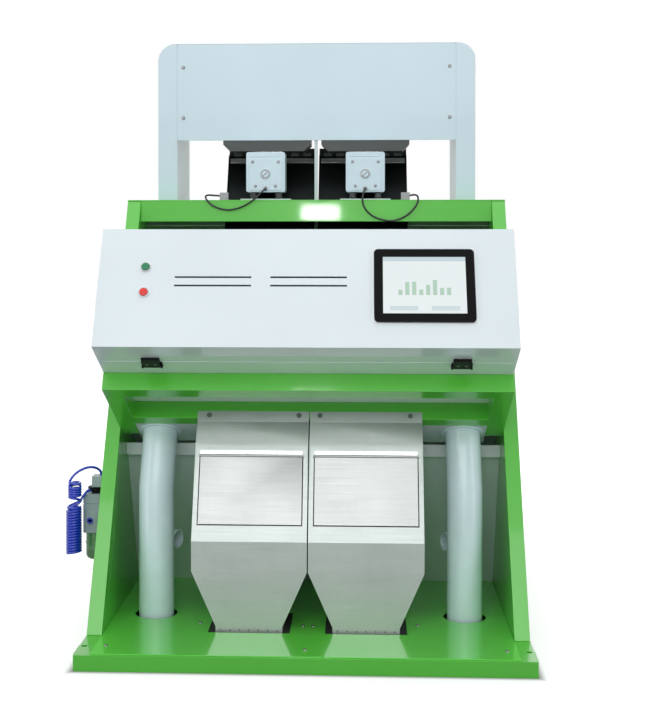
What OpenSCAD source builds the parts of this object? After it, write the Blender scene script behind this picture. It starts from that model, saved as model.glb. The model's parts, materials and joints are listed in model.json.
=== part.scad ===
// Optical colour sorter with two chutes.
// Front faces -Y, +Z is up, the origin lies on the floor under the middle of the base.
// Depths are measured back from the base front, and leaning parts use the post frame:
// u runs up along the posts and v runs forward from the posts' front faces.

/* [Base] */
// Width over the anchor ears
base_w = 1204; // [1160:2:1260]
// Depth of the base
base_d = 1300; // [1280:10:1360]
// Height of the base rails
base_h = 42; // [38:1:50]
// Width of a base rail
rail_w = 53; // [45:1:60]
// How far an ear stands out from the side rail
ear_out = 2; // [1:1:10]
// Length of an ear along the side
ear_d = 95; // [90:1:120]
// Corner radius of an ear
ear_r = 15; // [6:1:18]
// Radius of an anchor hole
anchor_r = 8; // [6:0.5:10]
// Anchor hole, in from the ear's outer side
anchor_side = 16; // [14:1:22]
// Anchor hole, back from the base front
anchor_back = 78; // [70:1:82]
// Thickness of the floor plate
plate_t = 3; // [2:0.5:5]

/* [Frame] */
// Lean of the posts and of all that hangs on them
tilt = 28; // [27:0.5:29]
// Foot of the front posts, back from the base front
post_foot = 170; // [160:1:180]
// Side of a square post
post_w = 42; // [38:1:44]
// Height of the frame's top
frame_top = 1239; // [1229:1:1249]
// Height of the front top beam
beam_h = 65; // [50:1:70]
// Depth of a top beam
beam_d = 45; // [40:1:48]
// Side panel sheet
panel_t = 2; // [1:0.5:3]
// Deck sheet
deck_t = 4; // [3:0.5:6]

/* [Console] */
// Underside of the shelf frame, along the posts
shelf_u = 588; // [580:1:596]
// Side of a shelf tube
shelf_tube = 51; // [45:1:55]
// Front of the rear shelf tube, forward of the posts
back_tube_reach = 95; // [90:1:100]
// Height of the console along the posts
console_h = 348; // [340:1:360]
// Front of the console, forward of the posts
console_reach = 492; // [480:1:505]
// Depth of the hinged lid
lid_depth = 96; // [85:1:125]
// Front of the shelf, behind the front of the console
shelf_setback = 179; // [170:1:200]
// Console sheet
console_t = 3; // [2:0.5:4]
// Seam between the lid and the box
lid_gap = 1; // [0.5:0.1:2]
// Radius of the lid hinge pin
hinge_pin_r = 3; // [2.5:0.1:3.5]
// Radius of a lid hinge knuckle
knuckle_r = 6; // [5:0.5:7]

/* [Touch panel and buttons] */
// Touch panel bezel width
screen_w = 267; // [250:1:290]
// Touch panel bezel height
screen_h = 213; // [200:1:225]
// Touch panel centre, right of the middle
screen_x = 314; // [300:1:330]
// Touch panel centre, along the posts
screen_u = 817; // [805:1:830]
// How far the bezel stands proud
screen_proud = 7; // [4:0.5:10]
// Black border of the touch panel
screen_border = 24; // [18:1:30]
// Button column, left of the middle
button_x = 432; // [420:1:445]
// Start button, along the posts
start_u = 871; // [860:1:885]
// Stop button, along the posts
stop_u = 796; // [785:1:808]
// Radius of a button head
button_r = 11; // [9:0.5:12]
// Travel of a button
button_travel = 3; // [2:0.5:4]
// Radius of a button bezel
button_bezel_r = 14.5; // [14:0.5:18]

/* [Hood and feed] */
// Width of the hood
hood_w = 1024; // [1000:2:1060]
// Front of the hood, behind the top beam's front
hood_setback = 67; // [60:1:75]
// Depth of the hood
hood_d = 300; // [290:1:320]
// Height of the hood above the deck
hood_h = 507; // [500:1:540]
// Width of a hood leg
leg_w = 62; // [50:1:70]
// Radius of the hood's top corners
hood_r = 56; // [40:1:60]
// Height of the hood panels
hood_panel_h = 311; // [300:1:312]
// Distance between the middles of the two feed lines
lane_pitch = 318; // [312:1:324]
// Width of a feed tray
tray_w = 284; // [280:1:304]
// Feed tray sheet
tray_t = 2; // [1.5:0.5:3]
// Room between a vibrator and its tray
tray_clear = 6; // [3:1:10]
// Height of a feed tray
tray_h = 48; // [40:1:50]
// Width of a vibrator housing
vib_w = 124; // [110:1:135]
// Height of a vibrator housing
vib_h = 128; // [120:1:128]
// Front of the vibrators, behind the top beam's front
vib_setback = 12; // [11:1:16]
// Depth of a vibrator housing
vib_d = 84; // [70:1:85]
// Height of an isolator spring
spring_h = 21; // [18:1:21]
// Width of a chute
chute_w = 290; // [270:1:296]
// Running face of the chutes, behind the posts' front plane
chute_v = 110; // [105:1:115]
// Thickness of a chute
chute_t = 12; // [8:1:16]

/* [Outlets] */
// Width of the pair of product hoppers
hopper_pair_w = 642; // [630:2:650]
// Hopper sheet
hopper_t = 2; // [1.5:0.5:3]
// Width of a hopper's foot
hopper_foot_w = 184; // [170:2:200]
// Gap between the two hoppers
hopper_gap = 3; // [2:0.5:5]
// Margin from a hopper's edge to its inspection flap
flap_margin = 16; // [14:1:29]
// Height of an inspection flap
flap_h = 189; // [170:1:195]
// Radius of the flap's hinge rod
flap_rod_r = 1.5; // [1.2:0.1:1.8]
// Outer radius of a dust pipe
pipe_r = 50; // [44:1:52]
// Wall of a dust pipe
pipe_t = 3; // [2:0.5:5]
// Dust pipes, out from the middle
pipe_x = 441; // [430:1:444]
// Dust pipes, back from the base front
pipe_back = 378; // [370:1:382]
// Height of the bend in a dust pipe
pipe_bend = 406; // [390:1:420]

/* [Air unit] */
// Axis of the air filter, out from the middle
air_x = 631; // [629:1:640]
// Axis of the air filter, back from the base front
air_back = 440; // [440:1:446]
// Width of the air filter body
air_w = 62; // [58:1:62]
// Height of the air filter body
air_h = 112; // [104:1:112]
// Bottom of the air filter body
air_z = 266; // [262:1:268]
// Radius of the filter bowl
bowl_r = 27; // [22:1:29]
// Diameter of the hose and of the vibrator cables
cord_d = 6; // [5:0.5:7]

/* [Hidden] */
$fn = 48;

green = [0.36, 0.68, 0.31];
white = [0.86, 0.91, 0.93];
steel = [0.72, 0.74, 0.75];
black = [0.06, 0.06, 0.07];
grey = [0.58, 0.62, 0.63];
blue = [0.08, 0.14, 0.68];

over = 1;
fit = 0.3;
seat = 0.05;

// Frame sizes that follow from the driving ones
rail_out = base_w / 2 - ear_out;
rail_in = rail_out - rail_w;
bay = rail_out - post_w;
plate_z = base_h + plate_t;
post_run = post_w / cos(tilt);
beam_back = post_foot + (frame_top - plate_z) * tan(tilt) - 2;
rear_post_back = base_d - post_w - 14;
deck_z = frame_top + deck_t;
hood_back = beam_back + hood_setback;
hood_top = deck_z + hood_h;
vib_back = beam_back + vib_setback;
front_deck_end = vib_back + vib_d + 6;
rear_deck_start = hood_back + 190;

// Console sizes
console_u = shelf_u + shelf_tube;
console_top = console_u + console_h;
seam_v = console_reach - lid_depth;
shelf_reach = console_reach - shelf_setback;
console_rear_v = back_tube_reach - shelf_tube + 1;
knuckle_rise = 0.5;
hinge_u = console_top + knuckle_r + knuckle_rise;
hinge_w = 60;
vent_us = [console_u + 178, console_u + 203];
hinge_xs = [-380, 0, 380];
latch_x = 414;
latch_w = 57;
latch_pivot_v = seam_v - 24;
latch_pivot_u = console_u - 6;
latch_pin_r = 2;
latch_ear = 5;
latch_base_t = 2;
latch_base_in = 10;
latch_base_clear = 3;

// Feed sizes
hood_in = hood_w / 2 - leg_w;
hood_sheet = 2;
vib_z = deck_z + deck_t + spring_h;
tray_z = vib_z + vib_h + tray_clear;
tray_back = hood_back + hood_sheet + 2;
hopper_low = tray_z + tray_h + 5;
tray_d = 111;
tray_chamfer = 22;
cover_t = 4;
cover_margin = 10;
chute_end_u = 800;
chute_top_u = (tray_z - 8 - plate_z + chute_v * sin(tilt)) / cos(tilt);
chute_edge = 8;
chute_side = 3;
support_low = 100;
support_high = 257;
support_size = 30;
strip_drop = 28;
strip_h = 18;
strip_t = 4;
strip_in = 6;
strip_u = chute_top_u - strip_drop;
chute_inner = 6;

// Product hopper side profile, from the post frame and the floor plate
hopper_half = (hopper_pair_w / 2 - hopper_gap) / 2;
hopper_x = hopper_pair_w / 4;
hopper_front = 212;
hopper_rear = 382;
hopper_foot_z = 6;
hopper_taper_top = 208;
hopper_taper_foot = 58;
hopper_low_crease = 291;
hopper_crease_back = 312;
hopper_crease_z = 547;
hopper_rim_u = shelf_u - 8;
hopper_lean = atan((hopper_crease_back - hopper_front) / (hopper_crease_z - hopper_low_crease));
hopper_face = norm([hopper_crease_back - hopper_front, hopper_crease_z - hopper_low_crease]);
flap_top = hopper_face - 39;
flap_w = 2 * (hopper_half - flap_margin);
flap_lap = 14;
flap_t = 2;
rim_flange = 29;
rim_screw_in = 28.5;
rim_screw_up = 8;
rim_screw_out = 33.5;
flap_barrel_r = 3.5;
flap_axis_out = 4;
flap_axis_up = flap_top + 2;
lug_w = 4;
slot_margin = 20;
slot_front = 12;
slot_rear = 18;
boot_t = 8;

slide_rim_back = 552;
slide_rim_z = 507;
slide_foot_back = 757;
slide_t = 3;

// Routes of the vibrator cables: across, behind the beam's front, above the deck
gland_l = 8;
gland_x = 159;
cable_left_route = [
    [-gland_x, 0, 36], [-161, -10, 33], [-171, -17, 23], [-188, -19, 6], [-212, -18, -12],
    [-242, -16, -26], [-275, -14, -32], [-306, -13, -27], [-331, -12, -15], [-346, -7, 1],
    [-350, 4, 12], [-341, 15, 16], [-325, 21, 15], [-306, 22, 14]
];
cable_right_route = [
    [gland_x, 0, 36], [158, -9, 33], [153, -16, 20], [150, -18, 3], [153, -17, -17],
    [165, -16, -37], [185, -14, -53], [211, -13, -63], [240, -12, -67], [268, -12, -61],
    [292, -12, -48], [311, -11, -30], [323, -8, -11], [326, -2, 5], [322, 9, 14],
    [312, 19, 16], [300, 22, 14]
];
plug_w = 28;
plug_d = 22;
plug_h = 24;

// Routes of the air hose: across, back and up from the middle of the filter body's top
hose_inlet_route = [
    [19, -8, 52], [18, -10, 62], [11, -17, 72], [-1, -26, 78], [-15, -36, 79],
    [-29, -46, 75], [-43, -54, 67], [-55, -59, 55], [-62, -62, 40]
];
hose_link_route = [[-59, -62, -2], [-64, -62, -12], [-63, -62, -22], [-59, -62, -32]];
hose_return_route = [
    [-40, -62, -32], [-36, -60, -20], [-28, -54, -6], [-20, -45, 6], [-14, -36, 13],
    [-10, -30, 12], [-9, -29, 8]
];
hose_upper_axis = [-47, -62];
hose_lower_axis = [-50, -62];
hose_upper_r = 19.3;
hose_lower_r = 24;
hose_upper_z = [-7, 45];
hose_lower_z = [-173, -28];

function at(d) = d - base_d / 2;
function post_y(u, v) = post_foot + u * sin(tilt) - v * cos(tilt);
function post_z(u, v) = plate_z + u * cos(tilt) + v * sin(tilt);
function unit(v) = v / norm(v);
function left_normal(a, b) = let(d = unit(b - a)) [-d[1], d[0]];
function before(p, i) = p[(i + len(p) - 1) % len(p)];
function after(p, i) = p[(i + 1) % len(p)];

// Outline moved inwards by t, for points that run anticlockwise
function inset(p, t) = [
    for (i = [0 : len(p) - 1])
        let(a = left_normal(before(p, i), p[i]), b = left_normal(p[i], after(p, i)))
            p[i] + (a + b) * t / (1 + a * b)
];

// Point on the smooth curve through p, a share s of the way from p[i] to p[i + 1]
function spline_point(p, i, s) =
    let(
        n = len(p) - 1,
        a = p[max(i - 1, 0)], b = p[i], c = p[i + 1], d = p[min(i + 2, n)]
    )
    0.5 * (2 * b + (c - a) * s + (2 * a - 5 * b + 4 * c - d) * s * s
        + (3 * b - a - 3 * c + d) * s * s * s);
function tangent(p, i) = unit(p[min(i + 1, len(p) - 1)] - p[max(i - 1, 0)]);
function square_to(n, t) = unit(n - (n * t) * t);
function swept_normals(p, start) = [
    for (
        i = 0, n = square_to(start, tangent(p, 0));
        i < len(p);
        i = i + 1, n = square_to(n, tangent(p, min(i, len(p) - 1)))
    ) n
];

// Box from corner to corner: across, back from the base front, up
module block(x, d, z) {
    translate([x[0], at(d[0]), z[0]]) cube([x[1] - x[0], d[1] - d[0], z[1] - z[0]]);
}

// Frame of the leaning posts, with -Y as v and Z as u
module leaning() {
    translate([0, at(post_foot), plate_z]) rotate([-tilt, 0, 0]) children();
}

// Box in the frame of the leaning posts
module slab(x, v, u) {
    translate([x[0], -v[1], u[0]]) cube([x[1] - x[0], v[1] - v[0], u[1] - u[0]]);
}

// Outline of depths and heights carried across from x[0] to x[1]
module side_cut(x) {
    translate([x[0], -base_d / 2, 0]) rotate([90, 0, 90]) linear_extrude(x[1] - x[0]) children();
}

// Outline of widths and heights carried back from d[0] to d[1]
module front_cut(d) {
    translate([0, at(d[1]), 0]) rotate([90, 0, 0]) linear_extrude(d[1] - d[0]) children();
}

module round_rect(w, h, r) {
    square([w - 2 * r, h], center = true);
    square([w, h - 2 * r], center = true);
    for (x = [-1, 1], y = [-1, 1])
        translate([x * (w / 2 - r), y * (h / 2 - r)]) circle(r);
}

module both_sides() {
    for (s = [0, 1]) mirror([s, 0, 0]) children();
}

// Cylinder that runs across, centred on x = 0
module rod(r, length) {
    rotate([0, 90, 0]) cylinder(r = r, h = length, center = true);
}

// Round cord along a smooth curve through the route
module cord(p, sides = 10, parts = 2) {
    last = len(p) - 1;
    path = [
        for (i = [0 : last - 1], k = [0 : parts - 1]) spline_point(p, i, k / parts),
        p[last]
    ];
    rings = len(path);
    normals = swept_normals(path, [0.37, 0.51, 0.78]);
    points = [
        for (i = [0 : rings - 1], k = [0 : sides - 1])
            let(a = 360 * k / sides, t = tangent(path, i), n = normals[i])
                path[i] + cord_d / 2 * (cos(a) * n + sin(a) * cross(t, n))
    ];
    skin = [
        for (i = [0 : rings - 2], k = [0 : sides - 1])
            let(a = i * sides + k, b = i * sides + (k + 1) % sides)
                [a, a + sides, b + sides, b]
    ];
    near_end = [[for (k = [0 : sides - 1]) k]];
    far_end = [[for (k = [sides - 1 : -1 : 0]) (rings - 1) * sides + k]];
    polyhedron(points, concat(skin, near_end, far_end));
}

module ear_outline() {
    translate([0, ear_d / 2]) round_rect(base_w, ear_d, ear_r);
}

module base_frame() color(green) {
    translate([0, -base_d / 2, 0]) difference() {
        linear_extrude(base_h) {
            translate([-rail_out, 0]) square([2 * rail_out, base_d]);
            ear_outline();
            translate([0, base_d]) mirror([0, 1]) ear_outline();
        }
        for (d = [rail_w, (base_d + rail_w) / 2])
            translate([-rail_in, d, -over])
                cube([2 * rail_in, (base_d - 3 * rail_w) / 2, base_h + 2 * over]);
        for (x = [-1, 1], d = [anchor_back, base_d - anchor_back])
            translate([x * (base_w / 2 - anchor_side), d, -over])
                cylinder(r = anchor_r, h = base_h + 2 * over);
    }
}

module foot_slot(margin) {
    translate([-hopper_foot_w / 2 - slot_margin - margin, hopper_front - slot_front - margin])
        square([
            hopper_foot_w + 2 * (slot_margin + margin),
            hopper_rear - hopper_front + slot_front + slot_rear + 2 * margin
        ]);
}

module base_plate() color(green) {
    translate([0, -base_d / 2, base_h]) linear_extrude(plate_t) difference() {
        translate([-bay + over, 6]) square([2 * (bay - over), slide_foot_back + 4]);
        both_sides() {
            translate([hopper_x, 0]) foot_slot(0);
            translate([pipe_x, pipe_back]) circle(pipe_r + 10);
        }
    }
}

module screw(r, h) {
    cylinder(r1 = r, r2 = 0.7 * r, h = h);
}

// Screws on the floor plate, the hood and the vibrator covers
plate_screw_x = 528;
plate_screw_back = 73;
slot_screw_x = 303;
slot_screw_back = 285;
mid_screw_x = 14;
mid_screw_back = 267;
nose_screw_back = 60;
hood_screw_in = 20;
hood_screw_high = 76;
hood_screw_low = 240;
cover_screw_top_x = 41;
cover_screw_top_z = 96;
cover_screw_low_x = 32;
cover_screw_low_z = 19;
plate_screws = [
    [plate_screw_x, plate_screw_back], [slot_screw_x, slot_screw_back], [mid_screw_x, mid_screw_back]
];
cover_screws = [[cover_screw_top_x, cover_screw_top_z], [cover_screw_low_x, cover_screw_low_z]];

module panel_screws() color(steel) {
    translate([0, at(nose_screw_back), plate_z]) screw(6, 3);
    both_sides() {
        for (p = plate_screws) translate([p[0], at(p[1]), plate_z]) screw(6, 3);
        for (z = [hood_top - hood_screw_high, hood_top - hood_screw_low])
            translate([hood_in - hood_screw_in, at(hood_back), z]) rotate([90, 0, 0]) screw(6, 3);
        for (s = [-1, 1], p = cover_screws)
            translate([lane_pitch / 2 + s * p[0], at(vib_back - cover_t), vib_z + p[1]])
                rotate([90, 0, 0]) screw(5, 2.5);
        for (x = [hopper_x - hopper_half + rim_screw_in, hopper_x + hopper_half - rim_screw_out])
            leaning() translate([x, -back_tube_reach - hopper_t, shelf_u + rim_screw_up])
                rotate([90, 0, 0]) cylinder(r = 8, h = 5, $fn = 6);
    }
}

module post_outline(foot_z) {
    foot = post_foot + (foot_z - plate_z) * tan(tilt);
    top = post_foot + (frame_top - plate_z) * tan(tilt);
    polygon([
        [foot, foot_z], [foot + post_run, foot_z],
        [top + post_run, frame_top], [top, frame_top]
    ]);
}

module front_posts() color(green) {
    both_sides() side_cut([bay, rail_out]) post_outline(base_h);
}

module rear_posts() color(green) {
    both_sides()
        block([bay, rail_out], [rear_post_back, rear_post_back + post_w], [base_h, frame_top - post_w]);
}

module top_rails() color(green) {
    both_sides() side_cut([bay, rail_out]) difference() {
        translate([post_foot, frame_top - post_w])
            square([rear_post_back + post_w - post_foot, post_w]);
        translate([0, 0]) polygon([
            [0, base_h], [post_foot + (base_h - plate_z) * tan(tilt) + post_run, base_h],
            [post_foot + (frame_top + post_w - plate_z) * tan(tilt) + post_run, frame_top + post_w],
            [0, frame_top + post_w]
        ]);
    }
}

module top_beams() color(green) {
    block([-bay, bay], [beam_back, beam_back + beam_d], [frame_top - beam_h, frame_top]);
    block([-bay, bay], [rear_post_back, rear_post_back + post_w], [frame_top - post_w, frame_top]);
}

module side_panels() color(green) {
    both_sides() side_cut([bay, bay + panel_t]) polygon([
        [post_foot + (base_h - plate_z) * tan(tilt) + post_run, base_h],
        [rear_post_back, base_h],
        [rear_post_back, frame_top - post_w],
        [post_foot + (frame_top - post_w - plate_z) * tan(tilt) + post_run, frame_top - post_w]
    ]);
}

module top_decks() color(green) {
    block([-rail_out, rail_out], [beam_back, front_deck_end], [frame_top, deck_z]);
    block([-rail_out, rail_out], [rear_deck_start, rear_post_back + post_w], [frame_top, deck_z]);
}

module shelf_frame() color(green) leaning() {
    slab([-bay, bay], [shelf_reach - shelf_tube, shelf_reach], [shelf_u, console_u]);
    slab([shelf_tube - bay, bay - shelf_tube], [back_tube_reach - shelf_tube, back_tube_reach],
        [shelf_u, console_u]);
    both_sides()
        slab([bay - shelf_tube, bay], [-post_w, shelf_reach - shelf_tube], [shelf_u, console_u]);
}

module console_box() color(white) leaning() {
    difference() {
        slab([-bay, bay], [console_rear_v, seam_v - lid_gap], [console_u, console_top]);
        slab([console_t - bay, bay - console_t], [console_rear_v + console_t, seam_v + over],
            [console_u + console_t, console_top - console_t]);
        slab([-480, 480], [console_rear_v - over, console_rear_v + console_t + over],
            [console_u + 16, console_u + 50]);
    }
}

module vent_slot(x0, x1, u) {
    slab([x0, x1], [console_reach - console_t - over, console_reach + over], [u - 2.5, u + 2.5]);
}

module lid_knuckle(bore) {
    difference() {
        rotate([90, 0, 90]) linear_extrude(hinge_w / 3, center = true) {
            circle(knuckle_r);
            translate([-knuckle_r - lid_gap - over, -knuckle_r - knuckle_rise])
                square([knuckle_r + lid_gap, knuckle_r]);
        }
        rod(bore, hinge_w);
    }
}

module console_lid() color(white) leaning() {
    difference() {
        slab([-bay, bay], [seam_v, console_reach], [console_u, console_top]);
        slab([console_t - bay, bay - console_t], [seam_v - over, console_reach - console_t],
            [console_u + console_t, console_top - console_t]);
        for (u = vent_us) {
            vent_slot(-352, -146, u);
            vent_slot(-95, 109, u);
        }
        slab([screen_x - screen_w / 2 + 12, screen_x + screen_w / 2 - 12],
            [console_reach - console_t - over, console_reach + over],
            [screen_u - screen_h / 2 + 12, screen_u + screen_h / 2 - 12]);
        for (u = [start_u, stop_u])
            translate([-button_x, -console_reach + console_t + over, u]) rotate([90, 0, 0])
                cylinder(r = button_r + 1, h = console_t + 2 * over);
    }
    for (x = hinge_xs)
        translate([x, -seam_v, hinge_u]) lid_knuckle(hinge_pin_r + seat);
}

// Fixed halves of the lid and door hinges, each with its pin
module hinge_pins() color(steel) {
    leaning() for (x = hinge_xs) translate([x, -seam_v, hinge_u]) {
        rod(hinge_pin_r, hinge_w);
        for (s = [-1, 1]) translate([s * (hinge_w / 3 + fit), 0, 0]) mirror([0, 1, 0])
            lid_knuckle(hinge_pin_r - seat);
    }
    for (z = door_hinge_zs) translate([-door_half, at(door_hinge_back), z]) {
        cylinder(r = hinge_pin_r, h = 2 * hinge_w, center = true);
        for (s = [-1, 1]) translate([0, 0, s * (0.75 * hinge_w + fit)]) {
            cylinder(r = knuckle_r, h = hinge_w / 2, center = true);
            translate([-40, -knuckle_r, -hinge_w / 4]) cube([40, 3, hinge_w / 2]);
        }
    }
}

module latch_bases() color(black) leaning() {
    for (x = [-latch_x, latch_x]) {
        slab([x - latch_w / 2, x + latch_w / 2], [latch_pivot_v - latch_base_in, seam_v - latch_base_clear],
            [console_u - latch_base_t, console_u]);
        for (s = [-1, 1]) translate([x + s * (latch_w / 2 - latch_ear / 2), -latch_pivot_v, latch_pivot_u]) {
            rod(latch_ear, latch_ear);
            translate([-latch_ear / 2, -latch_ear, 0])
                cube([latch_ear, 2 * latch_ear, console_u - latch_pivot_u]);
        }
        translate([x, -latch_pivot_v, latch_pivot_u]) rod(latch_pin_r, latch_w - over);
    }
}

module latch_lever(x) color(black) leaning() {
    lever_w = latch_w - 2 * latch_ear - 2 * fit;
    translate([x, -latch_pivot_v, latch_pivot_u]) difference() {
        union() {
            rod(3.5, lever_w);
            translate([-lever_w / 2, -46, -3.5]) cube([lever_w, 46, 3]);
            translate([-lever_w / 2 + 6, -50, -3.5]) cube([lever_w - 12, 5, 3]);
        }
        rod(latch_pin_r + seat, latch_w);
    }
}

module latch_lever_left() { latch_lever(-latch_x); }
module latch_lever_right() { latch_lever(latch_x); }

module latch_keepers() color(black) leaning() {
    for (x = [-latch_x, latch_x])
        slab([x - latch_w / 2 + 4, x + latch_w / 2 - 4], [seam_v + 4, seam_v + 24],
            [console_u - 5, console_u]);
}

module button(u, tint) color(tint) leaning() translate([-button_x, -console_reach, u]) rotate([90, 0, 0]) {
    translate([0, 0, -16]) cylinder(r = button_r - 2, h = 16 + fit);
    cylinder(r = button_r, h = 7);
}

module start_button() { button(start_u, [0.05, 0.5, 0.25]); }
module stop_button() { button(stop_u, [0.85, 0.12, 0.12]); }

// Bezel ring on the face with the guide barrel behind it
module button_bezels() color(white) leaning() for (u = [start_u, stop_u])
    translate([-button_x, -console_reach, u]) rotate([90, 0, 0]) {
        difference() {
            cylinder(r = button_bezel_r, h = 4);
            translate([0, 0, -over]) cylinder(r = button_r + fit, h = 4 + 2 * over);
        }
        translate([0, 0, -26]) difference() {
            cylinder(r = button_r + 1, h = 26);
            translate([0, 0, 3]) cylinder(r = button_r + fit, h = 26);
        }
    }

module screen_bezel() color(black) leaning()
    translate([screen_x, -console_reach, screen_u]) rotate([90, 0, 0]) difference() {
        union() {
            linear_extrude(screen_proud) round_rect(screen_w, screen_h, 12);
            translate([0, 0, -40]) linear_extrude(40) square([screen_w - 24, screen_h - 24], center = true);
        }
        translate([0, 0, screen_proud - 2]) linear_extrude(2 + over)
            square([screen_w - 2 * screen_border, screen_h - 2 * screen_border], center = true);
    }

module screen_glass() color([0.9, 0.93, 0.95]) leaning()
    translate([screen_x, -console_reach, screen_u]) rotate([90, 0, 0])
        translate([0, 0, screen_proud - 2]) linear_extrude(1.5)
            square([screen_w - 2 * screen_border, screen_h - 2 * screen_border], center = true);

// Arch of the hood seen from the front, drawn in by t
module hood_outline(t) {
    half = hood_w / 2 - t;
    r = hood_r - t;
    translate([-half, deck_z - t]) square([2 * half, hood_h - r]);
    translate([r - half, hood_top - hood_r]) square([2 * (half - r), r]);
    for (s = [-1, 1]) translate([s * (half - r), hood_top - hood_r]) circle(r);
}

module hood_shell() color(white) difference() {
    front_cut([hood_back, hood_back + hood_d]) difference() {
        hood_outline(0);
        translate([-hood_in, deck_z - over]) square([2 * hood_in, hood_h - hood_sheet + over]);
    }
    front_cut([hood_back + hood_sheet, hood_back + hood_d - hood_sheet]) intersection() {
        hood_outline(hood_sheet);
        both_sides() translate([hood_in + hood_sheet, deck_z - hood_sheet]) square([leg_w, hood_h]);
    }
    block([30 - hood_in, hood_in - 30], [hood_back + 20, hood_back + hood_d - 20],
        [hood_top - hood_sheet - over, hood_top + over]);
}

rear_panel_lift = 40;

// Front panel down to the feed trays, and a shorter rear one
module hood_panels() color(white)
    for (p = [[hood_back, 0], [hood_back + hood_d - hood_sheet, rear_panel_lift]]) {
        high = hood_panel_h - p[1];
        translate([0, at(p[0] + hood_sheet), hood_top - hood_sheet - high / 2]) rotate([90, 0, 0])
            linear_extrude(hood_sheet) round_rect(2 * hood_in, high, 5);
    }

module feed_hopper() color(steel) {
    front = hood_back + hood_sheet + 4;
    rear = hood_back + hood_d - 20;
    low = hopper_low;
    high = hood_top - hood_sheet;
    outlet = 54;
    slope_top = high - 50;
    outline = [[front, low], [front + outlet, low], [rear, slope_top], [rear, high], [front, high]];
    opened = [
        [front, low - 20], [front + outlet - 18.7, low - 20], [rear, slope_top],
        [rear, high + 20], [front, high + 20]
    ];
    difference() {
        side_cut([-hood_in, hood_in]) polygon(outline);
        for (s = [-1, 1]) mirror([s < 0 ? 1 : 0, 0, 0])
            side_cut([tray_t / 2, hood_in - tray_t]) polygon(inset(opened, tray_t));
    }
}

module tray_outline(t) {
    half = tray_w / 2 - t;
    c = tray_chamfer - 0.4 * t;
    polygon([
        [c - half, t], [half - c, t], [half, c], [half, tray_h + (t > 0 ? over : 0)],
        [-half, tray_h + (t > 0 ? over : 0)], [-half, c]
    ]);
}

module feed_tray(x) color(steel) difference() {
    translate([x, 0, tray_z]) front_cut([tray_back, tray_back + tray_d]) tray_outline(0);
    translate([x, 0, tray_z]) front_cut([tray_back + tray_t, tray_back + tray_d + over]) tray_outline(tray_t);
}

module feed_tray_left() { feed_tray(-lane_pitch / 2); }
module feed_tray_right() { feed_tray(lane_pitch / 2); }

module lanes() {
    for (x = [-lane_pitch / 2, lane_pitch / 2]) translate([x, 0, 0]) children();
}

module vibrator_housings() color(white) lanes() difference() {
    front_cut([vib_back, vib_back + vib_d]) translate([0, vib_z + vib_h / 2]) round_rect(vib_w, vib_h, 7);
    block([14 - vib_w / 2, vib_w / 2 - 14], [vib_back - over, vib_back + 2],
        [vib_z + vib_h - 18, vib_z + vib_h - 15]);
}

// Cover plate with the round boss of the stroke adjuster
module vibrator_covers() color(white) lanes() {
    w = vib_w - 2 * cover_margin;
    h = vib_h - 2 * cover_margin - 8;
    difference() {
        union() {
            front_cut([vib_back - cover_t, vib_back])
                translate([0, vib_z + cover_margin + h / 2 - 4]) round_rect(w, h, 5);
            translate([0, at(vib_back - cover_t), vib_z + 58]) rotate([90, 0, 0]) {
                cylinder(r1 = 17, r2 = 15, h = 3);
                cylinder(r = 10, h = 6);
            }
        }
        translate([0, at(vib_back - cover_t - 6), vib_z + 58]) rotate([0, 45, 0])
            cube([2.5, 4, 24], center = true);
    }
}

module isolator_springs() color(steel) lanes() {
    for (x = [-40, 40], d = [vib_back + 20, vib_back + vib_d - 20])
        translate([x, at(d), deck_z + deck_t]) rotate_extrude() {
            square([9, spring_h]);
            for (k = [0 : 2]) translate([9, 3.5 + 7 * k]) circle(3);
        }
}

module vibrator_bases() color(white) lanes()
    block([-80, 80], [vib_back - 4, front_deck_end - over], [deck_z, deck_z + deck_t]);

module leaf_springs() color(steel) lanes()
    block([-45, 45], [vib_back + vib_d, vib_back + vib_d + 2], [vib_z + 10, tray_z]);

// Frame of a lane's cable: the gland is at the start of the route, in the middle of the lane
module cable_frame(side) {
    translate([side * (lane_pitch / 2 - gland_x), at(vib_back - cover_t - gland_l), deck_z]) children();
}

module cable_gland(start) {
    translate(start + [0, gland_l, 0]) rotate([90, 0, 0]) cylinder(r1 = 7, r2 = 5, h = gland_l);
}

module cable_plug(side, finish) {
    translate([finish[0] + (side < 0 ? 0 : -plug_w), finish[1] - plug_d / 2, 0])
        cube([plug_w, plug_d, plug_h]);
}

module cable_connectors() color(grey) {
    cable_frame(-1) cable_gland(cable_left_route[0]);
    cable_frame(-1) cable_plug(-1, cable_left_route[len(cable_left_route) - 1]);
    cable_frame(1) cable_gland(cable_right_route[0]);
    cable_frame(1) cable_plug(1, cable_right_route[len(cable_right_route) - 1]);
}

module vibrator_cable_left() color(black) cable_frame(-1) cord(cable_left_route);
module vibrator_cable_right() color(black) cable_frame(1) cord(cable_right_route);

module chutes() color(black) leaning() both_sides() difference() {
    slab([chute_inner, chute_inner + chute_w], [-chute_v - chute_t, -chute_v + chute_edge],
        [chute_end_u, chute_top_u]);
    slab([chute_inner + chute_side, chute_inner + chute_w - chute_side],
        [-chute_v, -chute_v + chute_edge + over],
        [chute_end_u - over, chute_top_u + over]);
}

module chute_supports() color(steel) leaning() {
    for (u = [chute_end_u + support_low, chute_top_u - support_high])
        slab([-bay, bay], [-chute_v - chute_t - support_size, -chute_v - chute_t], [u, u + support_size]);
    both_sides()
        slab([chute_inner + strip_in, chute_inner + chute_w - strip_in], [-chute_v, -chute_v + strip_t],
            [strip_u, strip_u + strip_h]);
}

module centre_strut() color(white)
    block([-5, 5], [hood_back + hood_sheet + 4, hood_back + hood_sheet + 16], [deck_z, hopper_low]);

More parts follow.
